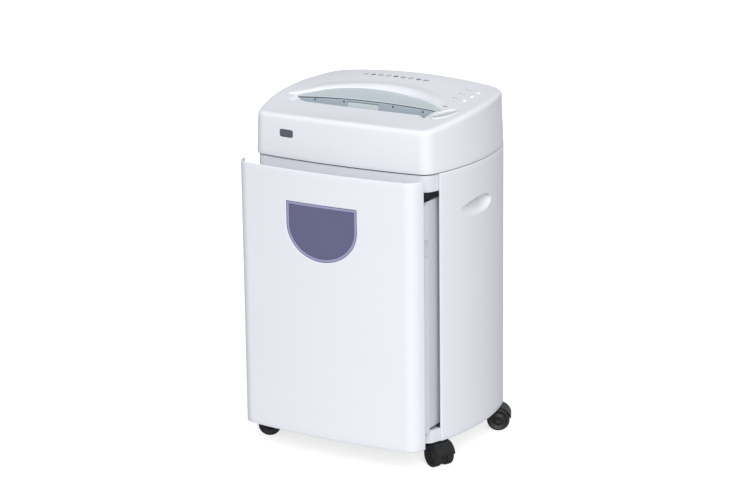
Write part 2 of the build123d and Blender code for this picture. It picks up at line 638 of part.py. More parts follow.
with BuildPart() as head_cavity:
    with BuildSketch(level(HEAD_BOTTOM)):
        add(cover_inner)
    extrude(amount=HEAD_SPACE)
    add(inner_crown, mode=Mode.INTERSECT)

with BuildPart() as board_posts:
    with BuildSketch(level(board_z + BOARD_THICKNESS)):
        with Locations(*post_spots):
            Circle(POST_RADIUS)
    extrude(amount=HEAD_SPACE)
    add(crown(1.0), mode=Mode.INTERSECT)

with BuildPart() as head_cover:
    with BuildSketch(level(HEAD_BOTTOM)):
        add(cover_outer)
    extrude(amount=HEAD_SPACE)
    add(CROWN, mode=Mode.INTERSECT)
    add(head_cavity.part, mode=Mode.SUBTRACT)
    add(board_posts.part)
    with BuildSketch(level(RAMP_Z - 20)):
        with Locations((MOUTH_X, RAMP_FRONT - MOUTH_GAP / 2)):
            Rectangle(MOUTH_WIDTH, MOUTH_GAP)
        add(brow_outline())
    extrude(amount=HEAD_SPACE, mode=Mode.SUBTRACT)
    with BuildSketch(level(board_z)):
        with Locations(Location(rocker_spot, ROCKER_TURN)):
            Ellipse(ROCKER_LENGTH / 2 + BEZEL_RIM, ROCKER_WIDTH / 2 + BEZEL_RIM)
        with Locations(*button_spots):
            SlotOverall(button_hole_length, button_hole_width, rotation=90)
        with Locations(*lens_spots):
            Circle(LENS_RADIUS)
    extrude(amount=HEAD_SPACE, mode=Mode.SUBTRACT)
    with BuildSketch(upright(HALF_DEPTH + WALL)):
        with Locations((INLET_X, INLET_Z)):
            Rectangle(INLET_WIDTH, INLET_HEIGHT)
        with Locations((VENT_X, VENT_Z)):
            with GridLocations(VENT_PITCH, 1, VENT_COUNT, 1):
                SlotOverall(VENT_HEIGHT, VENT_WIDTH, rotation=90)
    extrude(amount=4 * WALL, mode=Mode.SUBTRACT)
head_cover.part.label = "head_cover"
export_step(head_cover.part, "parts/head_cover.step")

with BuildPart() as head_base:
    with BuildSketch(level(DECK_TOP)):
        add(body_outline(2 * WALL + 2 * FIT))
        with Locations((MOUTH_X, CUT_Y)):
            RectangleRounded(chute_length - 2, chute_depth, 4, mode=Mode.SUBTRACT)
    extrude(amount=BASE_SHEET)
head_base.part.label = "head_base"
export_step(head_base.part, "parts/head_base.step")

# --- paper guides: slanted walls from the lips down towards the cutters ------------------------------
guide_foot = MOUTH_GAP / 2 - 3.0
guide_bottom = RAMP_Z - MOUTH_DROP
flap_spot = (FLAP_X, RAMP_Z - FLAP_TOP_DROP - FLAP_HEIGHT / 2)
guide_screw_x = (
    MOUTH_X - MOUTH_WIDTH / 2 + END_SCREW_INSETS[0], FLAP_X - FLAP_WIDTH / 2 - FLAP_SCREW_GAPS[0],
    FLAP_X + FLAP_WIDTH / 2 + FLAP_SCREW_GAPS[1], MOUTH_X + MOUTH_WIDTH / 2 - END_SCREW_INSETS[1],
)
screw_spots = [(x, RAMP_Z - GUIDE_SCREW_DROP) for x in guide_screw_x]

with BuildPart() as ramp_sheet:
    with BuildSketch(upright(-BODY_DEPTH)):
        with Locations((RAMP_X, RAMP_Z - RAMP_RADIUS)):
            Circle(RAMP_RADIUS)
            Circle(RAMP_RADIUS - GUIDE_WALL, mode=Mode.SUBTRACT)
    extrude(amount=-2 * BODY_DEPTH)
    with BuildSketch(level(CUT_Z)):
        add(brow_outline(-FIT))
    extrude(amount=HEAD_SPACE, mode=Mode.INTERSECT)

with BuildPart() as throat_guide_rear:
    with BuildSketch(sideways(MOUTH_X - MOUTH_WIDTH / 2)):
        Polygon(
            (RAMP_FRONT, RAMP_Z), (CUT_Y + guide_foot - GUIDE_WALL, guide_bottom),
            (CUT_Y + guide_foot, guide_bottom), (RAMP_FRONT + GUIDE_WALL, RAMP_Z - GUIDE_WALL),
            (RAMP_FRONT + GUIDE_WALL, RAMP_Z), align=None,
        )
    extrude(amount=MOUTH_WIDTH)
    with BuildSketch(upright(-BODY_DEPTH)):
        with Locations((RAMP_X, RAMP_Z - RAMP_RADIUS)):
            Circle(RAMP_RADIUS)
    extrude(amount=-2 * BODY_DEPTH, mode=Mode.INTERSECT)
    add(ramp_sheet.part)
    with BuildSketch(upright(RAMP_FRONT + 2 * GUIDE_WALL)):
        with Locations(flap_spot):
            Rectangle(FLAP_WIDTH + 2, FLAP_HEIGHT + 2)
        with Locations(*screw_spots):
            Circle(GUIDE_SCREW_RADIUS + FIT / 2)
    extrude(amount=5 * GUIDE_WALL, mode=Mode.SUBTRACT)
throat_guide_rear.part.label = "throat_guide_rear"
export_step(throat_guide_rear.part, "parts/throat_guide_rear.step")

front_guide_top = FRONT_GUIDE_Z
with BuildPart() as throat_guide_front:
    with BuildSketch(sideways(MOUTH_X - MOUTH_WIDTH / 2)):
        Polygon(
            (MOUTH_FRONT, front_guide_top), (CUT_Y - guide_foot + GUIDE_WALL, guide_bottom),
            (CUT_Y - guide_foot, guide_bottom), (MOUTH_FRONT - GUIDE_WALL, front_guide_top - 2 * GUIDE_WALL),
            (MOUTH_FRONT - GUIDE_WALL, front_guide_top), align=None,
        )
    extrude(amount=MOUTH_WIDTH)
    add(inner_crown, mode=Mode.INTERSECT)
throat_guide_front.part.label = "throat_guide_front"
export_step(throat_guide_front.part, "parts/throat_guide_front.step")

with BuildPart() as throat_screws:
    with BuildSketch(upright(RAMP_FRONT - GUIDE_SCREW_PROUD)):
        with Locations(*screw_spots):
            Circle(GUIDE_SCREW_RADIUS)
    extrude(amount=-2 * GUIDE_WALL)
throat_screws.part.label = "throat_screws"
export_step(throat_screws.part, "parts/throat_screws.step")

# The flap hangs in its window in the rear guide and turns about its upper edge.
flap_pivot_z = flap_spot[1] + FLAP_HEIGHT / 2 - FLAP_THICKNESS
with BuildPart() as sensor_flap:
    with BuildSketch(upright(RAMP_FRONT + 1.0)):
        with Locations(flap_spot):
            RectangleRounded(FLAP_WIDTH, FLAP_HEIGHT, 2.0)
    extrude(amount=FLAP_THICKNESS, both=False)
    with BuildSketch(sideways(FLAP_X - FLAP_WIDTH / 2 - 0.6)):
        with Locations((RAMP_FRONT + 1.0, flap_pivot_z)):
            Circle(FLAP_THICKNESS)
    extrude(amount=FLAP_WIDTH + 1.2)
sensor_flap.part.label = "sensor_flap"
export_step(sensor_flap.part, "parts/sensor_flap.step")

# --- rocker in its oval bezel, tilted with the crown -------------------------------------------------
rocker_rim = Location((ROCKER_X, MID_Y + ROCKER_Y, HEAD_BOTTOM + ROCKER_HEIGHT), (ROCKER_SLOPE, 0, 0))
rocker_plane = Plane(rocker_rim * Location((0, 0, 0), (0, 0, ROCKER_TURN)))
# seen along the pivot: x runs along the rocker, y runs up
pivot_plane = Plane(rocker_plane.origin, x_dir=rocker_plane.x_dir, z_dir=-rocker_plane.y_dir)
with BuildPart() as rocker_bezel:
    with BuildSketch(rocker_plane):
        Ellipse(ROCKER_LENGTH / 2 + BEZEL_RIM - FIT, ROCKER_WIDTH / 2 + BEZEL_RIM - FIT)
        Ellipse(ROCKER_LENGTH / 2, ROCKER_WIDTH / 2, mode=Mode.SUBTRACT)
    extrude(amount=-BEZEL_DEPTH)
    with BuildSketch(rocker_plane.offset(-BEZEL_DEPTH)):
        Ellipse(ROCKER_LENGTH / 2 + BEZEL_RIM - FIT, ROCKER_WIDTH / 2 + BEZEL_RIM - FIT)
    extrude(amount=-BEZEL_FLOOR)
    with BuildSketch(pivot_plane):
        with Locations((0, -ROCKER_PIN_DROP)):
            Circle(ROCKER_PIN_RADIUS + RUNNING)
    extrude(amount=ROCKER_WIDTH, both=True, mode=Mode.SUBTRACT)
rocker_bezel.part.label = "rocker_bezel"
export_step(rocker_bezel.part, "parts/rocker_bezel.step")

with BuildPart() as mode_rocker:
    with BuildSketch(rocker_plane.offset(-ROCKER_SINK - ROCKER_THICKNESS)):
        Ellipse(ROCKER_LENGTH / 2 - ROCKER_CLEARANCE - 1, ROCKER_WIDTH / 2 - ROCKER_CLEARANCE)
    extrude(amount=ROCKER_THICKNESS)
    with BuildSketch(pivot_plane):
        with Locations((0, ROCKER_DISH - ROCKER_DISH_DEPTH)):
            Circle(ROCKER_DISH)
    extrude(amount=ROCKER_WIDTH, both=True, mode=Mode.SUBTRACT)
    with BuildSketch(pivot_plane):
        with Locations((0, -ROCKER_PIN_DROP)):
            Circle(ROCKER_PIN_RADIUS)
    extrude(amount=ROCKER_WIDTH / 2 + BEZEL_RIM - 2 * FIT, both=True)
mode_rocker.part.label = "mode_rocker"
export_step(mode_rocker.part, "parts/mode_rocker.step")

# --- buttons, lenses and their board ----------------------------------------------------------------
crown_over_buttons = crown(-BUTTON_PROUD)
switch_height = 3.0
button_foot = board_z + BOARD_THICKNESS + switch_height + BUTTON_TRAVEL + FIT
for button_name, button_y in zip(BUTTON_NAMES, BUTTON_YS):
    with BuildPart() as button:
        with BuildSketch(level(button_foot)):
            with Locations((BUTTON_X, button_y)):
                SlotOverall(BUTTON_LENGTH, BUTTON_WIDTH, rotation=90)
        extrude(amount=HEAD_SPACE)
        add(crown_over_buttons, mode=Mode.INTERSECT)
    button.part.label = button_name
    export_step(button.part, f"parts/{button_name}.step")

with BuildPart() as indicator_lenses:
    with BuildSketch(level(board_z + BOARD_THICKNESS + FIT)):
        with Locations(*lens_spots):
            Circle(LENS_RADIUS - 0.1)
    extrude(amount=HEAD_SPACE)
    add(crown(-0.4), mode=Mode.INTERSECT)
indicator_lenses.part.label = "indicator_lenses"
export_step(indicator_lenses.part, "parts/indicator_lenses.step")

with BuildPart() as control_board:
    with BuildSketch(level(board_z)):
        with Locations((board_x, board_y)):
            Rectangle(BOARD_WIDTH, board_depth)
    extrude(amount=BOARD_THICKNESS)
    with BuildSketch(level(board_z + BOARD_THICKNESS)):
        with Locations(*button_spots):
            Rectangle(6, 6)
    extrude(amount=switch_height)
    with BuildSketch(level(board_z)):
        with Locations((board_x - 6, board_y)):
            Rectangle(14, 30)
    extrude(amount=-8)
control_board.part.label = "control_board"
export_step(control_board.part, "parts/control_board.step")

with BuildPart() as power_inlet:
    with BuildSketch(upright(HALF_DEPTH)):
        with Locations((INLET_X, INLET_Z)):
            Rectangle(INLET_WIDTH - 2 * FIT, INLET_HEIGHT - 2 * FIT)
    extrude(amount=INLET_DEPTH)
    with BuildSketch(upright(HALF_DEPTH)):
        with Locations((INLET_X, INLET_Z)):
            RectangleRounded(INLET_WIDTH - 8, INLET_HEIGHT - 8, 2)
    extrude(amount=INLET_DEPTH - 5, mode=Mode.SUBTRACT)
    with BuildSketch(upright(HALF_DEPTH - INLET_DEPTH + 5)):
        with Locations((INLET_X, INLET_Z + 2), (INLET_X - 5, INLET_Z - 1), (INLET_X + 5, INLET_Z - 1)):
            Rectangle(1.6, 4)
    extrude(amount=-10)
power_inlet.part.label = "power_inlet"
export_step(power_inlet.part, "parts/power_inlet.step")

# === cutting unit ===================================================================================
plate_front = FRONT_CUT_Y - DISC_RADIUS - 8
plate_back = REAR_CUT_Y + DISC_RADIUS + 8
plate_top = CUT_Z + DISC_RADIUS
gear_side_back = MOTOR_Y + MOTOR_RADIUS
tie_spots = [(plate_front + 5, CUT_Z + 12), (plate_back - 5, CUT_Z - 12), (plate_front + 5, CUT_Z - 22)]
bush_spots = [(FRONT_CUT_Y, CUT_Z), (REAR_CUT_Y, CUT_Z)]


def cutter_plate_holes():
    """Bush and tie bar holes of a cutter plate, on a sideways plane."""
    with Locations(*bush_spots):
        Circle(BUSH_RADIUS, mode=Mode.SUBTRACT)
    with Locations(*tie_spots):
        Circle(TIE_BAR_RADIUS - 1, mode=Mode.SUBTRACT)


with BuildPart() as cutter_plate_left:
    with BuildSketch(sideways(LEFT_PLATE_X)):
        with Locations(((plate_front + gear_side_back) / 2, (HEAD_BASE_TOP + plate_top) / 2)):
            Rectangle(gear_side_back - plate_front, plate_top - HEAD_BASE_TOP)
        with Locations((MOTOR_Y, (HEAD_BASE_TOP + MOTOR_Z) / 2 + 12)):
            Rectangle(2 * MOTOR_RADIUS, MOTOR_Z - HEAD_BASE_TOP + 24)
        with Locations((IDLER_Y, IDLER_Z)):
            Circle(PIN_RADIUS + 6)
            Circle(PIN_RADIUS, mode=Mode.SUBTRACT)
        with Locations((MOTOR_Y, MOTOR_Z)):
            Circle(MOTOR_SHAFT_RADIUS + 5, mode=Mode.SUBTRACT)
        cutter_plate_holes()
    extrude(amount=PLATE_THICKNESS)
cutter_plate_left.part.label = "cutter_plate_left"
export_step(cutter_plate_left.part, "parts/cutter_plate_left.step")

with BuildPart() as cutter_plate_right:
    with BuildSketch(sideways(RIGHT_PLATE_X)):
        with Locations(((plate_front + plate_back) / 2, (HEAD_BASE_TOP + plate_top) / 2)):
            Rectangle(plate_back - plate_front, plate_top - HEAD_BASE_TOP)
        cutter_plate_holes()
    extrude(amount=PLATE_THICKNESS)
cutter_plate_right.part.label = "cutter_plate_right"
export_step(cutter_plate_right.part, "parts/cutter_plate_right.step")

with BuildPart() as cutter_bushes:
    for plate_x in (LEFT_PLATE_X, RIGHT_PLATE_X):
        with BuildSketch(sideways(plate_x)):
            with Locations(*bush_spots):
                Circle(BUSH_RADIUS)
                Circle(JOURNAL_RADIUS + RUNNING, mode=Mode.SUBTRACT)
        extrude(amount=PLATE_THICKNESS)
cutter_bushes.part.label = "cutter_bushes"
export_step(cutter_bushes.part, "parts/cutter_bushes.step")

with BuildPart() as tie_bars:
    with BuildSketch(sideways(MOUTH_X - PLATE_X)):
        with Locations(*tie_spots):
            Circle(TIE_BAR_RADIUS)
    extrude(amount=2 * PLATE_X)
tie_bars.part.label = "tie_bars"
export_step(tie_bars.part, "parts/tie_bars.step")

disc_count = int((2 * PLATE_X - 2 * DISC_THICKNESS) / DISC_PITCH)
disc_run = (disc_count - 1) * DISC_PITCH


def cutter(depth, disc_shift, left_end, right_end):
    """A cutter shaft: core, journals out to both ends, and a row of eight-toothed discs."""
    with BuildPart() as shaft:
        with BuildSketch(sideways(left_end)):
            with Locations((depth, CUT_Z)):
                Circle(JOURNAL_RADIUS)
        extrude(amount=right_end - left_end)
        with BuildSketch(sideways(MOUTH_X - PLATE_X + 1)):
            with Locations((depth, CUT_Z)):
                Circle(SPACER_RADIUS)
        extrude(amount=2 * PLATE_X - 2)
        for number in range(disc_count):
            disc_x = MOUTH_X - disc_run / 2 + number * DISC_PITCH + disc_shift
            with BuildSketch(sideways(disc_x - DISC_THICKNESS / 2)):
                with Locations((depth, CUT_Z)):
                    Circle(DISC_RADIUS)
                    with PolarLocations(DISC_RADIUS, 8, start_angle=11 * number):
                        Rectangle(3, 3, rotation=30, mode=Mode.SUBTRACT)
            extrude(amount=DISC_THICKNESS)
    return shaft.part


front_cutter = cutter(FRONT_CUT_Y, -DISC_PITCH / 4, CUTTER_GEAR_X, RIGHT_PLATE_X + PLATE_THICKNESS + 2)
front_cutter.label = "front_cutter"
export_step(front_cutter, "parts/front_cutter.step")

rear_cutter = cutter(REAR_CUT_Y, DISC_PITCH / 4, MAIN_GEAR_X, RIGHT_PLATE_X + PLATE_THICKNESS + 2)
rear_cutter.label = "rear_cutter"
export_step(rear_cutter, "parts/rear_cutter.step")

for comb_name, comb_side, comb_y, disc_shift in (
    ("front_comb", -1, FRONT_CUT_Y, -DISC_PITCH / 4), ("rear_comb", 1, REAR_CUT_Y, DISC_PITCH / 4),
):
    comb_back = comb_y + comb_side * (DISC_RADIUS + 1.5)
    comb_tip = comb_y + comb_side * (SPACER_RADIUS + 0.8)
    with BuildPart() as comb:
        with BuildSketch(sideways(MOUTH_X - PLATE_X)):
            with Locations((comb_back + comb_side * COMB_THICKNESS / 2, CUT_Z)):
                Rectangle(COMB_THICKNESS, 14)
        extrude(amount=2 * PLATE_X)
        for number in range(disc_count - 1):
            tooth_x = MOUTH_X - disc_run / 2 + (number + 0.5) * DISC_PITCH + disc_shift
            with BuildSketch(sideways(tooth_x - 2)):
                with Locations(((comb_back + comb_tip) / 2, CUT_Z)):
                    Rectangle(abs(comb_back - comb_tip), 10)
            extrude(amount=4)
    comb.part.label = comb_name
    export_step(comb.part, f"parts/{comb_name}.step")

# --- gears: each faces a gap where its neighbour has a tooth ----------------------------------------
def gear(spot, start_x, teeth, module, tooth_angle, bore):
    """A spur gear of GEAR_WIDTH with a bore, its left face at start_x."""
    with BuildPart() as wheel:
        with BuildSketch(sideways(start_x)):
            with Locations(spot):
                add(gear_outline(teeth, module, tooth_angle))
                Circle(bore, mode=Mode.SUBTRACT)
        extrude(amount=GEAR_WIDTH)
    return wheel.part


front_gear = gear((FRONT_CUT_Y, CUT_Z), CUTTER_GEAR_X, CUTTER_TEETH, CUTTER_MODULE, 0, JOURNAL_RADIUS)
front_gear.label = "cutter_gear_front"
export_step(front_gear, "parts/cutter_gear_front.step")

rear_tooth = opposite_gap(0, CUTTER_TEETH)
rear_gear = gear((REAR_CUT_Y, CUT_Z), CUTTER_GEAR_X, CUTTER_TEETH, CUTTER_MODULE, rear_tooth, JOURNAL_RADIUS)
rear_gear.label = "cutter_gear_rear"
export_step(rear_gear, "parts/cutter_gear_rear.step")

main_gear = gear((REAR_CUT_Y, CUT_Z), MAIN_GEAR_X, MAIN_TEETH, MAIN_MODULE, IDLER_ANGLE, JOURNAL_RADIUS)
main_gear.label = "main_gear"
export_step(main_gear, "parts/main_gear.step")

idler_bore = PIN_RADIUS + RUNNING
small_tooth = opposite_gap(IDLER_ANGLE, IDLER_SMALL_TEETH)
with BuildPart() as idler_gear:
    add(gear((IDLER_Y, IDLER_Z), MAIN_GEAR_X, IDLER_SMALL_TEETH, MAIN_MODULE, small_tooth, idler_bore))
    add(gear((IDLER_Y, IDLER_Z), FAST_GEAR_X, IDLER_LARGE_TEETH, FAST_MODULE, MOTOR_ANGLE, idler_bore))
    with BuildSketch(sideways(FAST_GEAR_X + GEAR_WIDTH)):
        with Locations((IDLER_Y, IDLER_Z)):
            Circle(idler_bore + 2)
            Circle(idler_bore, mode=Mode.SUBTRACT)
    extrude(amount=GEAR_GAP)
idler_gear.part.label = "idler_gear"
export_step(idler_gear.part, "parts/idler_gear.step")

with BuildPart() as idler_pin:
    with BuildSketch(sideways(GEAR_PLATE_X)):
        with Locations((IDLER_Y, IDLER_Z)):
            Circle(PIN_RADIUS)
    extrude(amount=LEFT_PLATE_X + PLATE_THICKNESS - GEAR_PLATE_X)
idler_pin.part.label = "idler_pin"
export_step(idler_pin.part, "parts/idler_pin.step")

pinion_tooth = opposite_gap(MOTOR_ANGLE, PINION_TEETH)
with BuildPart() as motor_pinion:
    add(gear((MOTOR_Y, MOTOR_Z), FAST_GEAR_X, PINION_TEETH, FAST_MODULE, pinion_tooth, PINION_BORE))
    with BuildSketch(sideways(FAST_GEAR_X)):
        with Locations((MOTOR_Y, MOTOR_Z)):
            Circle(MOTOR_SHAFT_RADIUS)
    extrude(amount=MOTOR_X + MOTOR_LENGTH + FAN_WIDTH + 4 - FAST_GEAR_X)
motor_pinion.part.label = "motor_pinion"
export_step(motor_pinion.part, "parts/motor_pinion.step")

gear_plate_front = REAR_CUT_Y - 20
with BuildPart() as gear_plate:
    with BuildSketch(sideways(GEAR_PLATE_X)):
        with Locations(((gear_plate_front + IDLER_Y + 18) / 2, (HEAD_BASE_TOP + IDLER_Z + 12) / 2)):
            Rectangle(IDLER_Y + 18 - gear_plate_front, IDLER_Z + 12 - HEAD_BASE_TOP)
        with Locations((IDLER_Y, IDLER_Z)):
            Circle(PIN_RADIUS, mode=Mode.SUBTRACT)
    extrude(amount=PLATE_THICKNESS)
    with BuildSketch(level(HEAD_BASE_TOP)):
        with Locations((GEAR_PLATE_X + 7, (gear_plate_front + IDLER_Y + 18) / 2)):
            Rectangle(14, IDLER_Y + 18 - gear_plate_front)
    extrude(amount=2.5)
gear_plate.part.label = "gear_plate"
export_step(gear_plate.part, "parts/gear_plate.step")

# --- motor ------------------------------------------------------------------------------------------
with BuildPart() as motor:
    with BuildSketch(sideways(MOTOR_X)):
        with Locations((MOTOR_Y, MOTOR_Z)):
            Circle(MOTOR_RADIUS)
    extrude(amount=MOTOR_LENGTH)
    chamfer(motor.edges().filter_by(GeomType.CIRCLE), 3)
    with BuildSketch(sideways(MOTOR_X)):
        with Locations((MOTOR_Y, MOTOR_Z)):
            Circle(MOTOR_SHAFT_RADIUS + RUNNING)
    extrude(amount=MOTOR_LENGTH, mode=Mode.SUBTRACT)
motor.part.label = "motor"
export_step(motor.part, "parts/motor.step")

with BuildPart() as motor_cradle:
    with BuildSketch(sideways(MOTOR_X + MOTOR_LENGTH / 2 - 20)):
        with Locations((MOTOR_Y, (HEAD_BASE_TOP + MOTOR_Z) / 2)):
            Rectangle(2 * MOTOR_RADIUS - 10, MOTOR_Z - HEAD_BASE_TOP)
        with Locations((MOTOR_Y, MOTOR_Z)):
            Circle(MOTOR_RADIUS, mode=Mode.SUBTRACT)
    extrude(amount=40)
motor_cradle.part.label = "motor_cradle"
export_step(motor_cradle.part, "parts/motor_cradle.step")

fan_x = MOTOR_X + MOTOR_LENGTH + 3
with BuildPart() as motor_fan:
    with BuildSketch(sideways(fan_x)):
        with Locations((MOTOR_Y, MOTOR_Z)):
            Circle(8)
            with PolarLocations(FAN_RADIUS / 2, 9):
                Rectangle(FAN_RADIUS, 1.5)
            Circle(MOTOR_SHAFT_RADIUS, mode=Mode.SUBTRACT)
    extrude(amount=FAN_WIDTH)
motor_fan.part.label = "motor_fan"
export_step(motor_fan.part, "parts/motor_fan.step")

with BuildPart() as run_capacitor:
    with BuildSketch(sideways(fan_x + FAN_WIDTH + 12)):
        with Locations((MOTOR_Y + 10, HEAD_BASE_TOP + CAPACITOR_RADIUS)):
            Circle(CAPACITOR_RADIUS)
    extrude(amount=CAPACITOR_LENGTH)
run_capacitor.part.label = "run_capacitor"
export_step(run_capacitor.part, "parts/run_capacitor.step")

# === casters ========================================================================================
hood_radius = WHEEL_RADIUS + HOOD_GAP + HOOD_WALL
web_width = WHEEL_SPACE - 2 * HOOD_GAP
hood_top = CASTER_HEIGHT - STEM_GAP - WHEEL_RADIUS
for front_name, side_y in (("front", -1), ("rear", 1)):
    for side_name, side_x in (("left", -1), ("right", 1)):
        turn = TRAIL_TURN * side_x * side_y + (0 if side_x > 0 else 180)
        stem = Location((side_x * STEM_X, MID_Y + side_y * STEM_Y, 0), (0, 0, turn))
        stem_plane = Plane(stem)
        # seen along the axle: x runs along the trail, y runs up
        wheel_plane = Plane(stem * Location((TRAIL, 0, WHEEL_RADIUS), (90, 0, 0)))

        with BuildPart() as caster_wheels:
            for wheel_side in (-1, 1):
                with BuildSketch(wheel_plane.offset(wheel_side * (WHEEL_SPACE + WHEEL_WIDTH) / 2)):
                    Circle(WHEEL_RADIUS)
                    Circle(AXLE_RADIUS + RUNNING, mode=Mode.SUBTRACT)
                extrude(amount=WHEEL_WIDTH / 2, both=True)
        caster_wheels.part.label = f"caster_wheels_{front_name}_{side_name}"
        export_step(caster_wheels.part, f"parts/caster_wheels_{front_name}_{side_name}.step")

        with BuildPart() as caster_fork:
            with BuildSketch(wheel_plane):
                Circle(WHEEL_RADIUS - 2)
                with Locations((-TRAIL / 2 - 4, hood_top / 2)):
                    Rectangle(TRAIL + 8, hood_top)
            extrude(amount=web_width / 2, both=True)
            with BuildSketch(wheel_plane):
                Circle(hood_radius)
                Circle(hood_radius - HOOD_WALL, mode=Mode.SUBTRACT)
                with Locations((0, -hood_radius + HOOD_SKIRT)):
                    Rectangle(2 * hood_radius, 2 * hood_radius, mode=Mode.SUBTRACT)
            extrude(amount=WHEEL_SPACE / 2 + WHEEL_WIDTH, both=True)
            with BuildSketch(stem_plane.offset(2 * WHEEL_RADIUS + FIT)):
                Circle(STEM_RADIUS + SOCKET_WALL)
            extrude(amount=CASTER_HEIGHT - STEM_GAP - 2 * WHEEL_RADIUS - FIT)
            with BuildSketch(stem_plane.offset(CASTER_HEIGHT - 2 * STEM_GAP)):
                Circle(STEM_RADIUS)
            extrude(amount=2 * STEM_GAP + STEM_LENGTH - FIT)
            with BuildSketch(wheel_plane):
                Circle(AXLE_RADIUS)
            extrude(amount=WHEEL_SPACE / 2 + WHEEL_WIDTH, both=True)
        caster_fork.part.label = f"caster_fork_{front_name}_{side_name}"
        export_step(caster_fork.part, f"parts/caster_fork_{front_name}_{side_name}.step")
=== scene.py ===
"""Looks of an office paper shredder on casters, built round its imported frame.

Shapes are worked out in millimetres from the body's middle and the floor, and placed in metres.
+X is to the right, the front faces -Y, +Z is up.
"""
import json
import math

import bmesh
import bpy
import numpy as np
from mathutils import Matrix, Vector
from mathutils.geometry import delaunay_2d_cdt


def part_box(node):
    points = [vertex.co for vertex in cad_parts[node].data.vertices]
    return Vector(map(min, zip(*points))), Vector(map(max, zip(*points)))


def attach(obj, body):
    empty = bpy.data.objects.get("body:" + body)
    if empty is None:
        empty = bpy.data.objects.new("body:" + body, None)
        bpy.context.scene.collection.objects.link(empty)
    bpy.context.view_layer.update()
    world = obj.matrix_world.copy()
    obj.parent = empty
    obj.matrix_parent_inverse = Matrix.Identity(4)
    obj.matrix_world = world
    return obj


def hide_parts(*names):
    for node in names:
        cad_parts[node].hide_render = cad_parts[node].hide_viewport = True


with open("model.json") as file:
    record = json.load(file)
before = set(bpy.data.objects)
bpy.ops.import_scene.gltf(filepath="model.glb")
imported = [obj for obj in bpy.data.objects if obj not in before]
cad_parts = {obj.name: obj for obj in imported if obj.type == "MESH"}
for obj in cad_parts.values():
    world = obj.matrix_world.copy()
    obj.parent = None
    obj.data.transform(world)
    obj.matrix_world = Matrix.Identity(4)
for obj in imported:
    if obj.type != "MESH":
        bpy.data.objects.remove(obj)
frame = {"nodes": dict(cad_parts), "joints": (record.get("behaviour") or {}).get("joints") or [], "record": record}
scene = bpy.context.scene
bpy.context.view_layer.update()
nodes = frame["nodes"]

MM = 0.001
FIXED_BODY = "cabinet"
DRAWER_BODY = "drawer"


def low(node):
    """Lowest corner of a node, in millimetres."""
    return np.array(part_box(node)[0]) / MM


def high(node):
    """Highest corner of a node, in millimetres."""
    return np.array(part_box(node)[1]) / MM


# --- sizes that the frame's boxes don't give ---
SIDE_BOW = 25.0
BODY_DEPTH = 268.0
FRONT_BOW = 11.0
FRONT_CORNER = 25.0
BACK_CORNER = 38.0
WALL = 3.0
EDGE_ROLL = 8.0             # rounding of the head's upper edge
HEAD_DRAFT = 3.0            # how far the head's walls lean in at the top
DRAFT_RISE = 70.0
GAP = 0.4                   # clearance round parts that show in a hole
CROWN_REACH = 172.0
CROWN_DEPTHS = np.array([-151.0, -61.0, 42.0, 140.0])
CROWN_EDGES = np.array([66.0, 79.5, 88.7, 88.5])
CROWN_RISES = np.array([7.0, -1.5, 5.0, 14.0])

# --- places read from the frame ---
HALF_WIDTH = high("side_panel_right")[0]
HALF_DEPTH = BODY_DEPTH / 2
MIDDLE = high("back_panel")[1] - HALF_DEPTH
HEAD_BOTTOM = low("head_cover")[2]
DRAWER_OUT = -HALF_DEPTH - FRONT_BOW + MIDDLE - low("drawer_front")[1]
RAMP_FRONT = -32.0
MOUTH_FRONT = -61.0
MOUTH_LEFT = low("throat_guide_front")[0]
MOUTH_RIGHT = high("throat_guide_front")[0]
RAMP_CREST = HEAD_BOTTOM + 85.0
RAMP_RADIUS = 1640.0        # of the ramp's arch across the body
RAMP_X = 8.0
RAMP_LIFT = 0.09            # how fast the ramp's left half rises to the back
BROW_X = -10.0
BROW_CHORD = 286.0
BROW_DEPTH = 62.0
BROW_RADIUS = ((BROW_CHORD / 2) ** 2 + BROW_DEPTH ** 2) / (2 * BROW_DEPTH)
BROW_Y = RAMP_FRONT + BROW_DEPTH - BROW_RADIUS
BROW_ROLL = 12.0


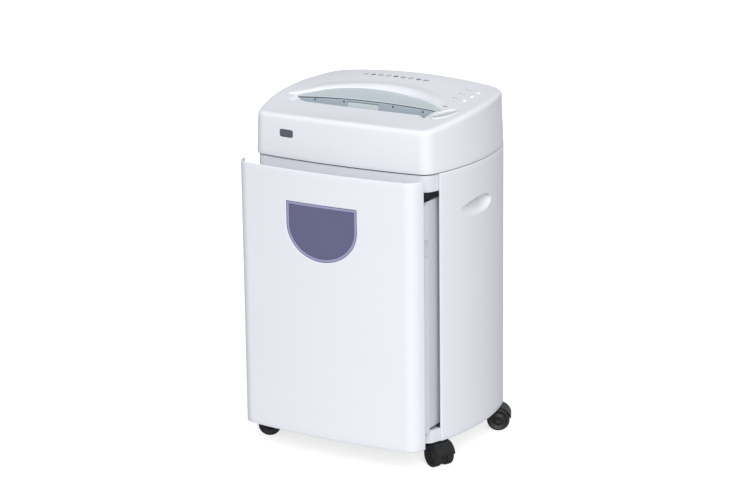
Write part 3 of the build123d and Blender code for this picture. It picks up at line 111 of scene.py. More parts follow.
# === plan of the body: bowed front and sides, straight back, rounded corners ===
def body_run():
    """Right half of the plan from the front's middle to the back's middle: arcs met by corner arcs.

    Returns points, outward normals, distance along and a sampling effort, which is distance over
    8 mm plus turning over 4 degrees.
    """
    chord = HALF_WIDTH - SIDE_BOW
    front_radius = (chord ** 2 + FRONT_BOW ** 2) / (2 * FRONT_BOW)
    side_radius = (HALF_DEPTH ** 2 + SIDE_BOW ** 2) / (2 * SIDE_BOW)
    front = np.array([0.0, front_radius - HALF_DEPTH - FRONT_BOW])
    side = np.array([HALF_WIDTH - side_radius, 0.0])
    apart = side - front
    gap = np.linalg.norm(apart)
    reach_a, reach_b = front_radius - FRONT_CORNER, side_radius - FRONT_CORNER
    part = (reach_a ** 2 - reach_b ** 2 + gap ** 2) / (2 * gap)
    rise = math.sqrt(reach_a ** 2 - part ** 2)
    along_gap = apart / gap
    corner = front + part * along_gap + rise * np.array([-along_gap[1], along_gap[0]])
    back = np.array([0.0, HALF_DEPTH - BACK_CORNER])
    back[0] = side[0] + math.sqrt((side_radius - BACK_CORNER) ** 2 - back[1] ** 2)
    turn_front = math.atan2(*(corner - front)[::-1])
    turn_side = math.atan2(*(corner - side)[::-1])
    turn_back = math.atan2(*(back - side)[::-1])
    points, normals = [], []
    for centre, radius, start, end in (
        (front, front_radius, -math.pi / 2, turn_front),
        (corner, FRONT_CORNER, turn_front, turn_side),
        (side, side_radius, turn_side, turn_back),
        (back, BACK_CORNER, turn_back, math.pi / 2),
    ):
        turn = np.linspace(start, end, 200)
        facing = np.column_stack([np.cos(turn), np.sin(turn)])
        points.append((centre + radius * facing)[:-1])
        normals.append(facing[:-1])
    flat_x = np.linspace(back[0], 0, 50)
    points.append(np.column_stack([flat_x, np.full(50, HALF_DEPTH)]))
    normals.append(np.tile([0.0, 1.0], (50, 1)))
    points, normals = np.vstack(points), np.vstack(normals)
    steps = np.linalg.norm(np.diff(points, axis=0), axis=1)
    turns = np.arccos(np.clip((normals[1:] * normals[:-1]).sum(1), -1, 1))
    distance = np.concatenate([[0], np.cumsum(steps)])
    effort = np.concatenate([[0], np.cumsum(steps / 8.0 + turns / math.radians(4))])
    return points, normals, distance, effort


RUN_POINTS, RUN_NORMALS, RUN_DISTANCE, RUN_EFFORT = body_run()
HALF_RUN = RUN_DISTANCE[-1]


def along(run):
    """Points and outward normals at signed distances along the plan: right of the middle is positive."""
    away, sign = np.abs(run), np.where(np.asarray(run) < 0, -1.0, 1.0)
    columns = [np.interp(away, RUN_DISTANCE, column) for column in (*RUN_POINTS.T, *RUN_NORMALS.T)]
    points = np.stack([columns[0] * sign, columns[1]], -1)
    normals = np.stack([columns[2] * sign, columns[3]], -1)
    return points, normals / np.linalg.norm(normals, axis=-1, keepdims=True)


def run_marks(start, end):
    """Distances from start to end, closer together where the plan turns."""
    effort = [math.copysign(np.interp(abs(s), RUN_DISTANCE, RUN_EFFORT), s) for s in (start, end)]
    wanted = np.linspace(effort[0], effort[1], max(3, int(effort[1] - effort[0]) + 1))
    return np.sign(wanted) * np.interp(np.abs(wanted), RUN_EFFORT, RUN_DISTANCE)


def run_at_depth(depth):
    """Distance along the plan's right half where the side wall passes a depth."""
    order = np.argsort(RUN_POINTS[:, 1], kind="stable")
    return float(np.interp(depth, RUN_POINTS[order, 1], RUN_DISTANCE[order]))


def run_at_x(x, back=False):
    """Distance along the plan where the front, or the back, passes an x."""
    away = np.abs(np.asarray(x, float))
    if back:
        flat = RUN_POINTS[:, 1] > HALF_DEPTH - 1e-6
        found = np.interp(-away, -RUN_POINTS[flat, 0], RUN_DISTANCE[flat])
    else:
        front = slice(0, int(np.argmax(RUN_POINTS[:, 0])))
        found = np.interp(away, RUN_POINTS[front, 0], RUN_DISTANCE[front])
    return np.where(np.asarray(x) < 0, -found, found)


def on_plan(flat, depth=0.0, forward=0.0):
    """Places (distance along the plan, height) pairs, set in by a depth and moved forward."""
    spots, normals = along(flat[..., 0])
    spots = spots - normals * np.asarray(depth, float)[..., None]
    return np.stack([spots[..., 0], spots[..., 1] - forward, flat[..., 1]], -1).reshape(-1, 3)


# === meshes ===
def piece(name, points, faces, body, material, replaces=(), wall=0.0, bevel=0.0, outward=None,
          weld=True):
    """Makes a mesh from points in body millimetres, closes it with a wall if it is a sheet, and places it.

    outward gives, for a sheet, a direction that its faces' mean normal has to agree with.
    """
    placed = np.asarray(points, float) * MM
    placed[:, 1] += MIDDLE * MM
    mesh = bpy.data.meshes.new(name)
    mesh.from_pydata(placed.tolist(), [], [list(map(int, f)) for f in faces])
    shape = bmesh.new()
    shape.from_mesh(mesh)
    if weld:
        bmesh.ops.remove_doubles(shape, verts=shape.verts, dist=2e-5)
        bmesh.ops.dissolve_degenerate(shape, edges=shape.edges, dist=1e-6)
    bmesh.ops.recalc_face_normals(shape, faces=shape.faces)
    if outward is not None:
        facing = sum((f.normal * f.calc_area() for f in shape.faces), Vector())
        if facing.dot(Vector(outward)) < 0:
            bmesh.ops.reverse_faces(shape, faces=shape.faces)
    shape.to_mesh(mesh)
    shape.free()
    mesh.shade_smooth()
    mesh.materials.append(material)
    made = bpy.data.objects.new(name, mesh)
    scene.collection.objects.link(made)
    if wall:
        solid = made.modifiers.new("wall", "SOLIDIFY")
        solid.thickness = wall * MM
        solid.offset = -1.0
        solid.use_even_offset = True
    if bevel:
        soft = made.modifiers.new("edges", "BEVEL")
        soft.width = bevel * MM
        soft.segments = 3
        soft.limit_method = "ANGLE"
        soft.angle_limit = math.radians(50)
    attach(made, body)
    if replaces:
        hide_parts(*replaces)
    return made


def grid_faces(rows, columns, close_rows=False, close_columns=False):
    """Quads of a grid whose points run column by column inside each row."""
    index = np.arange(rows * columns).reshape(rows, columns)
    if close_rows:
        index = np.vstack([index, index[:1]])
    if close_columns:
        index = np.hstack([index, index[:, :1]])
    return np.stack([index[:-1, :-1], index[:-1, 1:], index[1:, 1:], index[1:, :-1]], -1).reshape(-1, 4)


def inside(points, loop):
    """True for points inside a closed loop: a ray to the right crosses it an odd number of times."""
    x, y = points[:, :1], points[:, 1:]
    ax, ay = loop[:, 0], loop[:, 1]
    bx, by = np.roll(ax, -1), np.roll(ay, -1)
    spans = (ay > y) != (by > y)
    rise = np.where(by == ay, 1.0, by - ay)
    return (spans & (x < ax + (y - ay) * (bx - ax) / rise)).sum(1) % 2 == 1


def away_from(points, loop):
    """Distance of points from a closed loop's sides."""
    start, end = loop, np.roll(loop, -1, 0)
    side = end - start
    length = np.maximum((side ** 2).sum(1), 1e-12)
    to_point = points[:, None] - start[None]
    share = np.clip((to_point * side).sum(-1) / length, 0, 1)
    return np.linalg.norm(to_point - share[..., None] * side, axis=-1).min(1)


def within(points, outer, holes):
    """True for points inside a loop and outside its holes."""
    keep = inside(points, outer)
    for hole in holes:
        keep &= ~inside(points, hole)
    return keep


def trimmed(outer, holes, lattice, clear=1.6):
    """Triangles over the inside of a loop with holes, through the lattice points that are clear of them."""
    lattice = lattice[within(lattice, outer, holes)]
    for loop in (outer, *holes):
        lattice = lattice[away_from(lattice, loop) > clear]
    corners, edges = [], []
    for loop in (outer, *holes):
        start = sum(len(c) for c in corners)
        count = len(loop)
        edges += [(start + k, start + (k + 1) % count) for k in range(count)]
        corners.append(loop)
    corners = np.vstack([*corners, lattice])
    flat, _, faces, *_ = delaunay_2d_cdt([Vector(p) for p in corners.tolist()], edges, [], 0, 1e-5)
    flat = np.array([tuple(p) for p in flat])
    faces = np.array(faces)
    return flat, faces[within(flat[faces].mean(1), outer, holes)]


def full_turn(count):
    """Angles evenly round a circle."""
    return np.linspace(0, 2 * math.pi, count, endpoint=False)


def lattice_of(across, up):
    """Every point of a grid, one per row."""
    return np.stack(np.meshgrid(across, up), -1).reshape(-1, 2)


def oval(centre, half_long, half_wide, count=64, turn=0.0):
    """A closed ellipse, its long half-axis turned from +X by turn degrees."""
    angle = full_turn(count)
    a, b = half_long * np.cos(angle), half_wide * np.sin(angle)
    c, s = math.cos(math.radians(turn)), math.sin(math.radians(turn))
    return np.column_stack([centre[0] + a * c - b * s, centre[1] + a * s + b * c])


def slot_loop(centre, half_long, half_wide, count=10):
    """A closed slot along the second axis with half-round ends."""
    straight = half_long - half_wide
    end = np.linspace(0, math.pi, count)
    top = np.column_stack([half_wide * np.cos(end), straight + half_wide * np.sin(end)])
    return np.vstack([top, -top]) + np.asarray(centre)


def box_loop(x0, x1, y0, y1, corner, count=5):
    """A closed rectangle with rounded corners."""
    quarter = np.linspace(0, math.pi / 2, count)
    loops = []
    for cx, cy, start in (
        (x1 - corner, y1 - corner, 0), (x0 + corner, y1 - corner, 1),
        (x0 + corner, y0 + corner, 2), (x1 - corner, y0 + corner, 3),
    ):
        turn = quarter + start * math.pi / 2
        loops.append(np.column_stack([cx + corner * np.cos(turn), cy + corner * np.sin(turn)]))
    return np.vstack(loops)


def frame_loop(marks, z_low, z_high, rows):
    """A closed loop round a sheet on the plan: along the bottom, up, back along the top, down."""
    z_low, z_high = np.broadcast_to(z_low, marks.shape), np.broadcast_to(z_high, marks.shape)
    rise = np.linspace(0, 1, rows + 1)[1:-1]
    bottom = np.column_stack([marks, z_low])
    right = np.column_stack([np.full(rise.shape, marks[-1]), z_low[-1] + rise * (z_high[-1] - z_low[-1])])
    top = np.column_stack([marks, z_high])[::-1]
    left = np.column_stack([np.full(rise.shape, marks[0]), z_high[0] + rise * (z_low[0] - z_high[0])])
    return np.vstack([bottom, right, top, left])


def wall_sheet(marks, z_low, z_high, rows, holes=(), inset=0.0, forward=0.0, near=None):
    """A sheet on the body's plan: points and triangles. inset may depend on the height."""
    heights = np.linspace(np.min(z_low), np.max(z_high), rows + 1)
    lattice = lattice_of(marks, heights)
    if near is not None:
        lattice = np.vstack([lattice, near])
    flat, faces = trimmed(frame_loop(marks, z_low, z_high, rows), list(holes), lattice)
    depth = inset(flat[:, 1]) if callable(inset) else inset
    return on_plan(flat, depth, forward), faces


def swept(line, across, up, profile):
    """A closed profile carried along a closed line: each profile point is line + across*p0 + up*p1."""
    points = line[:, None] + across[:, None] * profile[None, :, :1] + up[:, None] * profile[None, :, 1:]
    return points.reshape(-1, 3), grid_faces(len(line), len(profile), True, True)


def turned(centre, axis, profile, count=64):
    """A closed profile of (radius, place along the axis) turned round an axis through centre."""
    axis = np.asarray(axis, float)
    first = np.cross(axis, (0, 0, 1))
    first /= np.linalg.norm(first)
    second = np.cross(axis, first)
    angle = full_turn(count)[:, None, None]
    radius, place = profile[None, :, :1], profile[None, :, 1:]
    points = np.asarray(centre) + radius * (np.cos(angle) * first + np.sin(angle) * second) + place * axis
    return points.reshape(-1, 3), grid_faces(count, len(profile), True, True)


def smoothstep(share):
    """Runs from 0 to 1 with flat ends."""
    share = np.clip(share, 0, 1)
    return share * share * (3 - 2 * share)


# === materials ===
def node_group(name, inputs, outputs):
    """An empty shader group with float inputs (name, value) and outputs (name, kind)."""
    group = bpy.data.node_groups.new(name, "ShaderNodeTree")
    for label, value in inputs:
        made = group.interface.new_socket(label, in_out="INPUT", socket_type="NodeSocketFloat")
        made.default_value = value
    for label, kind in outputs:
        group.interface.new_socket(label, in_out="OUTPUT", socket_type=kind)
    return group, group.nodes.new("NodeGroupInput"), group.nodes.new("NodeGroupOutput")


def set_inputs(tree, node, **values):
    """Joins each named input of a node to the socket given for it, or sets it to the value given."""
    for label, value in values.items():
        socket = node.inputs[label.replace("_", " ")]
        if isinstance(value, bpy.types.NodeSocket):
            tree.links.new(value, socket)
        else:
            socket.default_value = value
    return node


def add_node(tree, kind, **values):
    """Adds a shader node with its inputs joined or set."""
    return set_inputs(tree, tree.nodes.new(f"ShaderNode{kind}"), **values)


def moulded_surface():
    """Spark-eroded mould grain, faint flow clouding and a few rub marks, from object coordinates."""
    group, given, out = node_group(
        "moulded_surface",
        [("Grain Size", 900.0), ("Cloud Size", 9.0)],
        [("Height", "NodeSocketFloat"), ("Cloud", "NodeSocketFloat"), ("Rub", "NodeSocketFloat")],
    )
    place = add_node(group, "TexCoord").outputs["Object"]
    grain = add_node(group, "TexNoise", Detail=3.0, Vector=place, Scale=given.outputs["Grain Size"])
    cloud = add_node(group, "TexNoise", Detail=4.0, Distortion=0.4, Vector=place,
                     Scale=given.outputs["Cloud Size"])
    stretch = add_node(group, "Mapping", Vector=place, Scale=(14.0, 14.0, 260.0), Rotation=(0.5, 0.9, 0.3))
    streak = add_node(group, "TexNoise", Scale=1.0, Vector=stretch.outputs["Vector"])
    sharpen = add_node(group, "MapRange", From_Min=0.64, From_Max=0.74, Value=streak.outputs["Fac"])
    set_inputs(group, out, Height=grain.outputs["Fac"], Cloud=cloud.outputs["Fac"],
               Rub=sharpen.outputs["Result"])
    return group


def worked_metal():
    """Tool lines across one axis with a fine mottle, from object coordinates."""
    group, given, out = node_group(
        "worked_metal",
        [("Line Size", 600.0)],
        [("Height", "NodeSocketFloat"), ("Mottle", "NodeSocketFloat")],
    )
    place = add_node(group, "TexCoord").outputs["Object"]
    stretch = add_node(group, "Mapping", Vector=place, Scale=(1.0, 0.05, 0.05))
    lines = add_node(group, "TexNoise", Detail=4.0, Vector=stretch.outputs["Vector"],
                     Scale=given.outputs["Line Size"])
    mottle = add_node(group, "TexNoise", Scale=60.0, Detail=5.0, Vector=place)
    set_inputs(group, out, Height=lines.outputs["Fac"], Mottle=mottle.outputs["Fac"])
    return group


MOULDED = moulded_surface()
WORKED = worked_metal()


def new_material(name):
    """A node material with only its shader and output: returns material, tree and shader."""
    material = bpy.data.materials.new(name)
    material.use_nodes = True
    tree = material.node_tree
    return material, tree, tree.nodes["Principled BSDF"]


def use_group(tree, group, **values):
    """Places a shared group in a material and sets its inputs."""
    used = tree.nodes.new("ShaderNodeGroup")
    used.node_tree = group
    return set_inputs(tree, used, **values)


def blend_colours(tree, mask, first, second):
    """A colour that runs from first to second with a mask."""
    mixed = tree.nodes.new("ShaderNodeMix")
    mixed.data_type = "RGBA"
    mixed.inputs["A"].default_value = (*first, 1.0)
    mixed.inputs["B"].default_value = (*second, 1.0)
    tree.links.new(mask, mixed.inputs["Factor"])
    return mixed.outputs["Result"]


def spread(tree, mask, bottom, top):
    """A value that runs from bottom to top as a mask runs over its middle range."""
    ranged = add_node(tree, "MapRange", From_Min=0.3, From_Max=0.7, To_Min=bottom, To_Max=top, Value=mask)
    return ranged.outputs["Result"]


def bump(tree, shader, height, strength, distance):
    """Feeds a height to the shader's normal."""
    bumped = add_node(tree, "Bump", Strength=strength, Distance=distance, Height=height)
    tree.links.new(bumped.outputs["Normal"], shader.inputs["Normal"])


def plastic(name, colour, roughness, grain=900.0, depth=0.25, vary=0.04, alpha=1.0, coat=0.0):
    """Moulded plastic: clouded colour, grain bump, and rub marks that polish it."""
    material, tree, shader = new_material(name)
    surface = use_group(tree, MOULDED, Grain_Size=grain)
    darker = tuple(c * (1 - vary) for c in colour)
    lighter = tuple(min(1.0, c * (1 + vary)) for c in colour)
    clouded = blend_colours(tree, surface.outputs["Cloud"], darker, lighter)
    rough = spread(tree, surface.outputs["Cloud"], roughness - 0.05, roughness + 0.05)
    polish = tree.nodes.new("ShaderNodeMath")
    polish.operation = "MULTIPLY_ADD"
    polish.inputs[1].default_value = -0.07
    tree.links.new(surface.outputs["Rub"], polish.inputs[0])
    tree.links.new(rough, polish.inputs[2])
    set_inputs(tree, shader, Base_Color=clouded, Roughness=polish.outputs["Value"], Alpha=alpha,
               Coat_Weight=coat)
    bump(tree, shader, surface.outputs["Height"], depth, 0.0002)
    return material


def metal(name, colour, roughness, lines=600.0, depth=0.3):
    """Worked metal: tool lines, mottled colour and roughness."""
    material, tree, shader = new_material(name)
    surface = use_group(tree, WORKED, Line_Size=lines)
    darker = tuple(c * 0.82 for c in colour)
    mottled = blend_colours(tree, surface.outputs["Mottle"], darker, colour)
    rough = spread(tree, surface.outputs["Mottle"], roughness - 0.08, roughness + 0.1)
    set_inputs(tree, shader, Base_Color=mottled, Roughness=rough, Metallic=1.0)
    bump(tree, shader, surface.outputs["Height"], depth, 0.0001)
    return material


white_shell = plastic("white_shell", (0.655, 0.67, 0.71), 0.42, grain=1100.0, depth=0.14, vary=0.012)
inner_white = plastic("inner_white", (0.60, 0.61, 0.66), 0.5, grain=800.0, depth=0.2, vary=0.02)
# the guide and ramp greys are shaded and lit copies of one blue-grey guide plastic: the walls' darker and the
# ramp's lighter tone are painted shade and painted light
guide_painted_shade_grey = plastic("guide_painted_shade_grey", (0.31, 0.37, 0.42), 0.38, grain=900.0, depth=0.2, vary=0.05)
ramp_painted_lit_grey = plastic("ramp_painted_lit_grey", (0.47, 0.535, 0.565), 0.36, grain=900.0, depth=0.15, vary=0.03)
# painted shade: near-black that stands for the shade deep in the throat
throat_painted_shade = plastic("throat_painted_shade", (0.035, 0.03, 0.045), 0.5, grain=700.0, depth=0.2, vary=0.1)
bin_grey = plastic("bin_grey", (0.64, 0.65, 0.71), 0.5, grain=700.0, depth=0.25, vary=0.03)
smoke = plastic("smoke", (0.115, 0.115, 0.21), 0.16, grain=300.0, depth=0.03, vary=0.08, alpha=0.86)
# painted light: the window's rim is the smoky plastic made lighter, as if its raised lip were lit
smoke_rim_painted_lit = plastic("smoke_rim_painted_lit", (0.27, 0.27, 0.42), 0.25, grain=500.0, depth=0.06, vary=0.05)
# painted shade: the dark outline round the window stands for the shadow in its gap
window_gap_painted_shade = plastic("window_gap_painted_shade", (0.10, 0.08, 0.20), 0.4, grain=500.0, depth=0.1, vary=0.08)
caster_black = plastic("caster_black", (0.003, 0.003, 0.004), 0.45, grain=600.0, depth=0.3, vary=0.2)
tread_black = plastic("tread_black", (0.006, 0.006, 0.007), 0.6, grain=400.0, depth=0.4, vary=0.2)
button_white = plastic("button_white", (0.80, 0.81, 0.84), 0.28, grain=900.0, depth=0.08, vary=0.01, coat=0.2)
rocker_grey = plastic("rocker_grey", (0.42, 0.46, 0.48), 0.3, grain=900.0, depth=0.15, vary=0.05)
print_grey = plastic("print_grey", (0.06, 0.065, 0.08), 0.5, grain=500.0, depth=0.1, vary=0.08)
badge_dark = plastic("badge_dark", (0.075, 0.08, 0.10), 0.35, grain=500.0, depth=0.12, vary=0.15)
gear_ivory = plastic("gear_ivory", (0.72, 0.69, 0.58), 0.45, grain=500.0, depth=0.3, vary=0.06)
board_green = plastic("board_green", (0.03, 0.20, 0.08), 0.35, grain=300.0, depth=0.2, vary=0.2)
lens_green = plastic("lens_green", (0.30, 0.55, 0.34), 0.2, grain=300.0, depth=0.05, vary=0.05)
motor_enamel = plastic("motor_enamel", (0.05, 0.055, 0.06), 0.4, grain=250.0, depth=0.4, vary=0.15)
cutter_steel = metal("cutter_steel", (0.42, 0.43, 0.45), 0.32)
# painted shade: black for the parts behind the head's seam, so the gap reads as shadow
seam_painted_shade = plastic("seam_painted_shade", (0.02, 0.02, 0.024), 0.5, grain=400.0, depth=0.2, vary=0.1)
sheet_steel = metal("sheet_steel", (0.60, 0.62, 0.64), 0.4, lines=200.0, depth=0.15)
bush_bronze = metal("bush_bronze", (0.60, 0.42, 0.22), 0.4)
screw_dark = metal("screw_dark", (0.10, 0.11, 0.12), 0.4, lines=900.0)
screw_steel = metal("screw_steel", (0.50, 0.51, 0.53), 0.3, lines=900.0)

SLOT_FINISHES = {
    "white_plastic": white_shell, "guide_plastic": guide_painted_shade_grey, "smoke_lens": smoke, "bin_plastic": bin_grey,
    "caster_plastic": caster_black, "tread": tread_black, "steel": cutter_steel, "sheet_steel": sheet_steel,
    "bronze": bush_bronze, "gear_plastic": gear_ivory, "motor_paint": motor_enamel, "board": board_green,
    "lens_clear": lens_green, "button_plastic": button_white,
}
for part in frame["record"]["subparts"]:
    target = nodes[part["node"]].data
    target.materials.clear()
    target.materials.append(SLOT_FINISHES[part["material_slot"]])
for name, finish in (
    # the front throat guide is made near-black as painted shade of the deep throat
    ("throat_screws", screw_steel), ("back_screws", screw_steel), ("throat_guide_front", throat_painted_shade),
    ("front_rail", inner_white), ("base_tray", inner_white), ("door_magnet", inner_white),
    # head_base and cabinet_deck are made black as painted shade in the seam below the head
    ("head_base", seam_painted_shade), ("cabinet_deck", seam_painted_shade),
):
    nodes[name].data.materials[0] = finish


# === head ===
def crown_height(x, y):
    """Height of the arched top: a parabola across whose edge and rise follow cubics in depth."""
    edge = rise = 0.0
    for number, depth in enumerate(CROWN_DEPTHS):
        others = np.delete(CROWN_DEPTHS, number)
        share = (y - others[0]) * (y - others[1]) * (y - others[2]) / np.prod(depth - others)
        edge = edge + CROWN_EDGES[number] * share
        rise = rise + CROWN_RISES[number] * share
    return HEAD_BOTTOM + edge + rise * (1 - (x / CROWN_REACH) ** 2)


def ramp_height(x, y):
    """The sunk ramp: an arch across the body, its left part lifted to the back."""
    arch = RAMP_CREST - (x - RAMP_X) ** 2 / (2 * RAMP_RADIUS)
    return arch + RAMP_LIFT * (y - RAMP_FRONT) * np.clip((45 - x) / 100, 0, 1.5)


WALL_GAP = 2.6              # dark slit between the ramp's edge and the wall
WALL_DROP = 27.0
WALL_LEAN = 0.2
BACKING_GAP = 5.5           # from the throat's wall to the dark sheet of painted shade behind it
FLAP_INSET = 0.6
FLAP_LEFT, FLAP_BOTTOM = low("sensor_flap")[0] + FLAP_INSET, low("sensor_flap")[2]
FLAP_RIGHT, FLAP_TOP = high("sensor_flap")[0] - FLAP_INSET, high("sensor_flap")[2]
GUIDE_SCREWS = ((-109.0, 9.3), (-52.5, 7.3), (41.5, 6.3), (98.0, 8.8))     # place across, and drop
GUIDE_SCREW_RADIUS = 1.7
MOUTH_CORNER = np.array([-143.0, RAMP_FRONT])       # rear left end of the mouth, past the guides
SCOOP_TIP = np.array([-139.5, -78.0])               # where the left scoop runs out on the deck
SCOOP_DROP = 4.5
END_DROP = 3.5              # how far the deck sinks at the mouth's right end
LIP_ROLL = 3.0


def line_side(x, y, start, end):
    """Signed distance from a line, positive on its left."""
    run = np.asarray(end) - start
    return (run[0] * (y - start[1]) - run[1] * (x - start[0])) / np.hypot(*run)


def deck_height(x, y):
    """The crown, rolled down to the ramp at the brow and to the lip, and dished at the mouth's ends."""
    top = crown_height(x, y)
    share = np.clip((x - BROW_X) / (BROW_CHORD / 2), -1, 1)
    roll = 2.5 + (BROW_ROLL - 2.5) * np.cos(share * math.pi / 2) ** 0.7
    past = np.hypot(x - BROW_X, y - BROW_Y) - BROW_RADIUS
    beyond = np.clip(past / roll, 0, 1)
    swell = smoothstep((y - RAMP_FRONT) / 14) * smoothstep((135 - np.abs(x - BROW_X)) / 30)
    top = top + 2.6 * np.exp(-((past - 12) / 13) ** 2) * swell
    ramp = np.minimum(ramp_height(x, y) + 0.2, top - 0.6)
    rolled = ramp + (top - ramp) * np.sqrt(np.clip(1 - (1 - beyond) ** 2, 0, 1))
    top = np.where(y > RAMP_FRONT - 6, np.minimum(top, rolled), top)
    from_lip = np.clip((MOUTH_FRONT - y) / LIP_ROLL, 0, 1)
    lip_span = smoothstep((x - MOUTH_LEFT) / 8) * smoothstep((MOUTH_RIGHT - x) / 8)
    lip_drop = LIP_ROLL * (1 - np.sqrt(np.clip(1 - (1 - from_lip) ** 2, 0, 1))) * lip_span
    top = top - np.where(y <= MOUTH_FRONT, lip_drop, 0)
    left = smoothstep(line_side(x, y, MOUTH_CORNER, SCOOP_TIP) / 5)
    front = smoothstep(line_side(x, y, SCOOP_TIP, np.array([MOUTH_LEFT, MOUTH_FRONT])) / 15)
    before_ramp = smoothstep((RAMP_FRONT + 3 - y) / 6)
    top = top - SCOOP_DROP * left * front * before_ramp * (x < MOUTH_LEFT + 1)
    wide = 1 - smoothstep((x - MOUTH_RIGHT) / 8)
    near = smoothstep((x - MOUTH_RIGHT + 12) / 12)
    fade = smoothstep((y - MOUTH_FRONT + 16) / 16)
    return top - END_DROP * wide * near * fade * (y < RAMP_FRONT + 4)


def brow_arc(start, end, count, grow=0.0):
    """Points along the brow between two angles from straight back."""
    turn, radius = np.linspace(start, end, count), BROW_RADIUS + grow
    return np.column_stack([BROW_X + radius * np.sin(turn), BROW_Y + radius * np.cos(turn)])


def mouth_loop():
    """The opening in the deck: lip, right end, brow arc, and slanted left end."""
    half = math.asin(BROW_CHORD / 2 / BROW_RADIUS)
    arc = brow_arc(half, -half, 120)
    lip_x = np.linspace(MOUTH_LEFT, MOUTH_RIGHT, 80)
    lip = np.column_stack([lip_x, np.full(len(lip_x), MOUTH_FRONT)])
    end_y = np.linspace(MOUTH_FRONT, RAMP_FRONT, 12)[1:]
    right = np.column_stack([np.full(len(end_y), MOUTH_RIGHT), end_y])
    share = np.linspace(0, 1, 14)[:-1, None]
    left = MOUTH_CORNER + share * (lip[0] - MOUTH_CORNER)
    return np.vstack([lip, right, arc, left])


BUTTONS = ("power", "forward", "reverse")
button_spots = []
for key in BUTTONS:
    node = f"{key}_button"
    button_spots.append(((low(node) + high(node)) / 2 - (0, MIDDLE, 0))[:2])
VENT_COUNT, VENT_PITCH = 14, 7.0
VENT_X, VENT_HEIGHT = -30.0, 46.0
VENT_HALF_LONG, VENT_HALF_WIDE = 16.0, 1.5
LENS_AHEAD = 5.0            # from a button's middle to its lens
LENS_X = (low("indicator_lenses")[0] + high("indicator_lenses")[0]) / 2
LENS_RADIUS = (high("indicator_lenses")[0] - low("indicator_lenses")[0]) / 2
ROCKER_AT = ((low("rocker_bezel") + high("rocker_bezel")) / 2 - (0, MIDDLE, 0))[:2]
ROCKER_TURN = 66.0
ROCKER_LONG, ROCKER_WIDE, BEZEL_RIM = 25.0, 11.0, 3.0
BUTTON_LONG, BUTTON_WIDE = 4.5, 3.0
BUTTON_GAP = 0.35
BUTTON_PROUD = 1.3


def head_lean(z):
    """How far the head's wall leans in at a height."""
    return HEAD_DRAFT * np.clip((z - HEAD_BOTTOM) / DRAFT_RISE, 0, 1)


def build_head_shell():
    """Leaning walls, a quarter-round upper edge and the deck, welded into one skin with a wall."""
    marks = run_marks(-HALF_RUN, HALF_RUN)
    spots, normals = along(marks)
    edge_in = spots - normals * (HEAD_DRAFT + EDGE_ROLL)
    edge_top = crown_height(edge_in[:, 0], edge_in[:, 1])
    roll_start = edge_top - EDGE_ROLL
    holes = []
    inlet_low, inlet_high = low("power_inlet"), high("power_inlet")
    sides = run_at_x([inlet_high[0] + GAP, inlet_low[0] - GAP], back=True)
    holes.append(box_loop(sides.min(), sides.max(), inlet_low[2] - GAP, inlet_high[2] + GAP, 0.8))
    for number in range(VENT_COUNT):
        vent_x = VENT_X + (number - (VENT_COUNT - 1) / 2) * VENT_PITCH
        spot = (float(run_at_x(vent_x, back=True)), HEAD_BOTTOM + VENT_HEIGHT)
        holes.append(slot_loop(spot, VENT_HALF_LONG, VENT_HALF_WIDE, 7))
    wall_points, wall_faces = wall_sheet(marks, HEAD_BOTTOM, roll_start, 12, holes, inset=head_lean)

    turn = np.linspace(0, math.pi / 2, 8)[:, None]
    lean_at = head_lean(roll_start)
    inset = lean_at + (HEAD_DRAFT + EDGE_ROLL - lean_at) * (1 - np.cos(turn))
    height = roll_start + EDGE_ROLL * np.sin(turn)
    roll_xy = spots[None] - normals[None] * inset[..., None]
    roll_points = np.dstack([roll_xy, height]).reshape(-1, 3)
    roll_faces = grid_faces(len(turn), len(marks))

    mouth = mouth_loop()
    wells = [mouth, oval(ROCKER_AT, ROCKER_LONG + BEZEL_RIM, ROCKER_WIDE + BEZEL_RIM, 72, ROCKER_TURN)]
    for spot in button_spots:
        wells.append(slot_loop(spot, BUTTON_LONG + BUTTON_GAP, BUTTON_WIDE + BUTTON_GAP, 12))
        wells.append(oval((LENS_X, spot[1] + LENS_AHEAD), LENS_RADIUS + 0.1, LENS_RADIUS + 0.1, 20))
    coarse = lattice_of(np.arange(-180, 181, 6.0), np.arange(-145, 136, 6.0))
    fine = lattice_of(np.arange(-172, 150, 1.8), np.arange(-88, 48, 1.8))
    coarse = coarse[away_from(coarse, mouth) > 19]
    fine = fine[away_from(fine, mouth) <= 17]
    flat, deck_faces = trimmed(edge_in[:-1], wells, np.vstack([coarse, fine]), clear=1.2)
    deck_points = np.column_stack([flat, deck_height(flat[:, 0], flat[:, 1])])

    points = np.vstack([wall_points, roll_points, deck_points])
    faces = [*wall_faces, *(roll_faces + len(wall_points)),
             *(deck_faces + len(wall_points) + len(roll_points))]
    piece("head_shell", points, faces, FIXED_BODY, white_shell, ("head_cover",), wall=2.4,
          bevel=0.5, outward=(0, 0, 1))


def throat_wall_y(z):
    """Depth of the throat's rear wall: it leans in going down."""
    return RAMP_FRONT + 1.4 - WALL_LEAN * (RAMP_CREST - z)


def build_ramp():
    """The sunk ramp over the brow's plan, with its front edge rounded off."""
    half = math.asin(BROW_CHORD / 2 / BROW_RADIUS) - 0.004
    arc = brow_arc(-half, half, 90, 1.2)
    front = np.column_stack([arc[:, 0], np.full(len(arc), RAMP_FRONT)])
    share = np.concatenate([[0, 0.012, 0.03], np.linspace(0.06, 1, 26)])[:, None, None]
    flat = front[None] + share * (arc - front)[None]
    height = ramp_height(flat[..., 0], flat[..., 1])
    edge_round = np.clip(1 - (flat[..., 1] - RAMP_FRONT) / 1.5, 0, 1)
    height = height - 0.7 * edge_round ** 2
    # the ramp takes the lighter copy of the guide plastic: painted light
    piece("throat_ramp", np.dstack([flat, height]).reshape(-1, 3), grid_faces(len(share), 90), FIXED_BODY,
          ramp_painted_lit_grey, ("throat_guide_rear",), wall=1.6, outward=(0, -0.5, 1))


